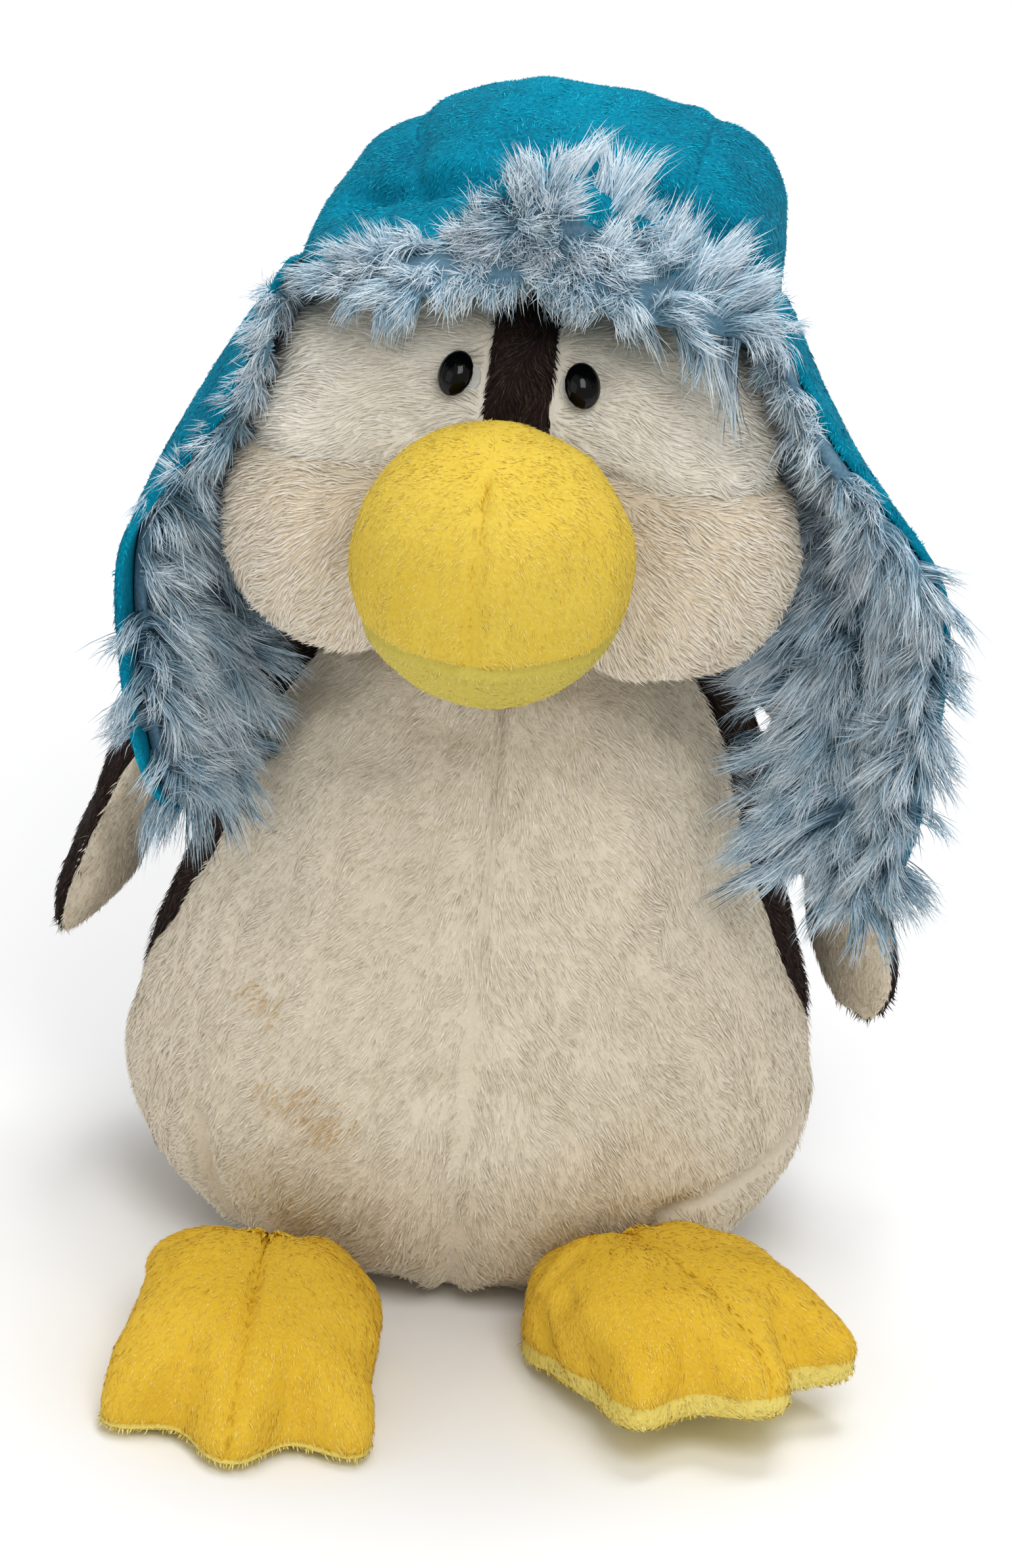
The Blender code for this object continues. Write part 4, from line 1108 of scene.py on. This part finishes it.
WING_LENGTH = 0.104
WING_HALF_WIDTH = 0.0200
WING_HALF_THICKNESS = 0.0105
WING_ROOT_SHIFT = 0.020      # how far the root reaches in to the body's side
WINGS = {  # shoulder, lean outwards and turn about the length in degrees
    "left": ((-0.0735, 0.034, 0.158), 18, 24),
    "right": ((0.0785, 0.033, 0.158), 11, 40),
}


def wing(side, sign):
    """A flat flipper, brown outside and pale inside."""
    spot, lean, face = WINGS[side]
    turn = np.array(Matrix.Rotation(-sign * radians(lean), 3, "Y")
                    @ Matrix.Rotation(-sign * radians(90 - face), 3, "Z"))
    rows, columns = 34, 44
    angle = np.linspace(0, 2 * pi, columns, endpoint=False)[None]
    t = (0.5 - 0.5 * np.cos(np.linspace(0.12, pi - 0.12, rows)))[:, None]
    off = np.minimum(np.abs(2 * t - 1), 0.998)
    swell = (1 - off ** 4) ** 0.5 * (1 - 0.06 * t)
    x = WING_HALF_WIDTH * swell * np.cos(angle)
    y = WING_HALF_THICKNESS * swell * (1.08 - 0.12 * t) * np.sin(angle)
    z = WING_HALF_WIDTH * 0.5 - (WING_LENGTH + WING_HALF_WIDTH * 0.5) * t + 0 * angle
    root_shift = np.array([-sign * WING_ROOT_SHIFT, 0, 0])
    near_root = smooth((0.36 - t) / 0.36)[..., None]
    rings = (np.stack([x, y, z], -1) @ turn.T + spot + near_root * root_shift)[::-1]
    c = np.arange(columns)
    regions = np.repeat(np.where(c < columns // 2, 0, 1)[None], rows - 1, 0)
    seam = np.zeros((rows, columns))
    seam[:, 0] = seam[:, columns // 2] = 1
    tip = np.array([0, 0, -WING_LENGTH]) @ turn.T + spot
    root = np.array([0, 0, WING_HALF_WIDTH * 0.5]) @ turn.T + spot + root_shift
    body = f"wing_{side}"
    form = Form(body, rings, tip, root, regions, seam).inflate(cap=0.0015).refine(0.0010)
    form.carve(0.0005 * waves(form.points, 0.018, 91)[:, 0])
    along = np.array([0, 0, -1.0]) @ turn.T
    start = np.array(spot) + [-sign * 0.021, 0, 0.008]
    end = np.array(spot) + [-sign * 0.001, 0, -0.014]
    join = ("torso", start.tolist(), end.tolist())

    def comb(q, n):
        """Towards the tip."""
        return np.repeat(along[None], len(q), 0)

    outer_is = 0 if np.sum((np.array([0, 1.0, 0]) @ turn.T) * [sign, 0, 0]) > 0 else 1
    skin = form.piece(f"{body}_outer_skin", [outer_is], "brown", body, [f"{body}_outer"], 0.5, join)
    pile(f"{body}_outer_pile", skin, "brown", body, comb, 93 + sign, length=0.0032, blend=join)
    skin = form.piece(f"{body}_inner_skin", [1 - outer_is], "cream", body, [f"{body}_inner"], 0.5, join)
    pile(f"{body}_inner_pile", skin, "cream", body, comb, 97 + sign, length=0.0032, blend=join,
         shade=lambda q: np.full(len(q), -0.5))


# ---------------------------------------------------------------- feet

FOOT_TOE = 0.066
FOOT_HALF_WIDTH = 0.0430
FOOT_HEIGHT = 0.036
FOOT_HEEL = 0.040
EDGE_ROUND = 0.006           # radius of the sole's edge
SOLE_EDGE = {"left": 0.003, "right": 0.008}
FEET = {  # hinge, turn outwards and tip upwards in degrees
    "left": ((-0.047, -0.073, 0.0), 4, 0),
    "right": ((0.049, -0.060, 0.0018), 36, 11),
}
TOES = (radians(-34), 0.0, radians(34))


def foot_outline(turn, lobes=1.0):
    """Distance from the hinge to the sole's edge; turn is 0 towards the toes."""
    away = np.abs(turn)
    blend = smooth((away - radians(75)) / radians(85))
    width = FOOT_HALF_WIDTH * 1.02 / np.maximum(np.sin(np.minimum(away, radians(90))), 0.02)
    rounded = ((FOOT_TOE * 0.93) ** -5.0 + width ** -5.0) ** (-1 / 5)
    toes = sum(0.0125 * np.cos(0.5 * np.minimum(np.abs(turn - c) * pi / radians(20), pi)) ** 2 for c in TOES)
    return (rounded - 0.0085 + toes * lobes + 0.005 * (1 - lobes)) * (1 - blend) + FOOT_HEEL * blend


def foot(side, sign):
    """Two upper halves, the sole, three toes; the heel runs into the body."""
    spot, yaw, tip = FEET[side]
    body = f"foot_{side}"
    turn = np.array(Matrix.Rotation(sign * radians(yaw), 3, "Z") @ Matrix.Rotation(radians(-tip), 3, "X"))
    columns, under, edge, upper = 96, 7, 3, 18
    a = np.linspace(0, 2 * pi, columns, endpoint=False)
    a = np.where(a > pi, a - 2 * pi, a)

    def ring(reach, height):
        """Points round the foot at a distance from its hinge."""
        return np.stack([np.sin(a) * reach, -np.cos(a) * reach, 0 * a + height], -1)

    reach = foot_outline(a)
    sole_edge = SOLE_EDGE[side]
    crest = np.array([0, 0.010, 0])
    flat = [ring((reach - EDGE_ROUND) * part, 0) for part in np.linspace(0.1, 0.9, under)]
    for part in np.linspace(0, 1, edge, endpoint=False):
        angle = part * pi / 2
        flat.append(ring(reach - EDGE_ROUND + EDGE_ROUND * sin(angle), sole_edge * (1 - cos(angle))))
    for part in np.linspace(0, 0.97, upper):
        angle = part * pi / 2
        spread = cos(angle) ** 0.64
        p = crest * (1 - spread) + ring(foot_outline(a, 1 - smooth(part / 0.5)), 0) * spread
        p[:, 2] = sole_edge + (FOOT_HEIGHT - sole_edge) * sin(angle) ** 0.9
        flat.append(p)
    rings = np.array(flat)
    # the heel narrows and sinks where it goes into the body
    waist = smooth((rings[..., 1] + 0.030) / 0.040)[..., None]
    rings = rings * (1 - waist * [0.10, 0, 0])
    back = smooth(rings[..., 1] / 0.035)[..., None]
    rings = rings * (1 - back * [0.25, 0, 0.45])
    top = crest + [0, 0, FOOT_HEIGHT * 0.93]
    rows = len(rings)
    whole = (rings * [sign, 1, 1]) @ turn.T + spot
    if sign < 0:  # mirrored rings run the other way round
        whole = np.roll(whole[:, ::-1], 1, 1)
    regions = np.repeat(np.where(np.arange(columns) < columns // 2, 0, 1)[None], rows - 1, 0)
    regions[:under + edge] = 2
    seam = np.zeros((rows, columns))
    seam[under + edge] = 0.9
    seam[under + edge:, 0] = 1
    low = np.array(spot, float)
    high = top @ turn.T + spot
    form = Form(body, whole, low, high, regions, seam).inflate(cap=0.0030).refine(0.0012, 0.0020)
    local = (form.points - spot) @ turn * [sign, 1, 1]
    move = 0.0007 * waves(form.points, 0.02, 101)[:, 0] * smooth(local[:, 2] / 0.01)
    for gap in (radians(-17), radians(17)):  # between the toes
        r = float(foot_outline(np.array([gap]))[0])
        line = [(sin(gap) * (r + past), -cos(gap) * (r + past), height)
                for past, height in ((0.002, 0.010), (-0.004, 0.022), (-0.007, 0.024))]
        move += groove(local, line, 0.0042, 0.0036)
    form.carve(move)
    hinge = np.array(spot) + [0, 0, 0.016]
    heel = np.array([0, 0.030, 0.014]) @ turn.T + spot
    join = ("torso", heel.tolist(), hinge.tolist())

    def comb(q, n):
        """Away from the crest and down."""
        away = q - (np.array([0, 0.012, FOOT_HEIGHT]) @ turn.T + spot)
        return unit(away) + [0, 0, -0.4]

    def shade(q):
        """Deeper on top, paler at the toes."""
        inside = (q - spot) @ turn
        middle = np.exp(-(inside[:, 0] / 0.0010) ** 2)
        return 0.1 + 0.4 * smooth(-inside[:, 1] / 0.07) - 3.0 * middle

    for half, number in (("outer", 0), ("inner", 1)):
        skin = form.piece(f"{body}_{half}_skin", [number], "foot", body, [f"{body}_upper_{half}"], 0.8, join)
        pile(f"{body}_{half}_pile", skin, "foot", body, comb, 103 + 2 * number + sign, length=0.0024,
             spacing=0.00088, width=0.00036, blend=join, shade=shade, swirl=0.004)
    skin = form.piece(f"{body}_sole_skin", [2], "sole", body, [f"{body}_sole"], 0.8, join)
    pile(f"{body}_sole_pile", skin, "sole", body, comb, 109 + sign, length=0.0022, spacing=0.0011,
         width=0.00045, lift=25, blend=join, keep=lambda q: q[:, 2] > 0.0022)


# ---------------------------------------------------------------- pieces that keep their CAD shape

FINISHES = {  # colour, colour in the depth, roughness, grain, bump, specular
    "eye": ((6, 5, 5), (1, 1, 1), 0.08, 300, 0.0, 0.22),
    "washer": ((232, 232, 228), (214, 214, 210), 0.4, 500, 0.1, 0.4),
    "pellets": ((214, 214, 208), (150, 150, 146), 0.5, 700, 1.0, 0.4),
    "filling": ((240, 240, 236), (205, 205, 200), 0.95, 260, 0.9, 0.4),
}
FILLING_SHARE = 0.90         # fillings stay clear of the seams drawn in
FOOT_FILLING_SHARE = 0.50


def shrunken(node, name, finish, share):
    """A smaller copy of a filling, in place of the CAD's."""
    mesh = node.data.copy()
    co = coordinates(mesh)
    middle = (co.min(0) + co.max(0)) / 2
    set_coordinates(mesh, middle + (co - middle) * share)
    mesh.materials.clear()
    mesh.materials.append(finish)
    finish_piece(placed(f"{name}_inside", mesh), node["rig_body"], [name])


def kept_nodes():
    """Eyes, washers, pellets and fillings."""
    made = {name: plush(name, colour, dark, grain, grain / 4, 0.0, bump, rough, specular)
            for name, (colour, dark, rough, grain, bump, specular) in FINISHES.items()}
    for name, node in frame["nodes"].items():
        if node.hide_render:
            continue
        words = name.split("_")
        finish = "washer" if "washer" in words else "eye" if "eye" in words else "filling"
        if name == "pellet_pouch":
            finish = "pellets"
        node.data.materials.clear()
        node.data.materials.append(made[finish])
        if name.startswith("foot"):
            shrunken(node, name, made[finish], FOOT_FILLING_SHARE)
        elif finish == "filling":
            shrunken(node, name, made[finish], FILLING_SHARE)
        elif finish == "eye":
            node.modifiers.new("weld", "WELD").merge_threshold = 0.00002
            round_off = node.modifiers.new("round", "SUBSURF")
            round_off.levels = round_off.render_levels = 2
            node.data.shade_smooth()


camera()
studio()
torso()
head()
beak()
crown()
brow_flap()
for side_name, side_sign in SIDES:
    ear_flap(side_name, side_sign)
    wing(side_name, side_sign)
    foot(side_name, side_sign)
kept_nodes()

bpy.context.view_layer.update()
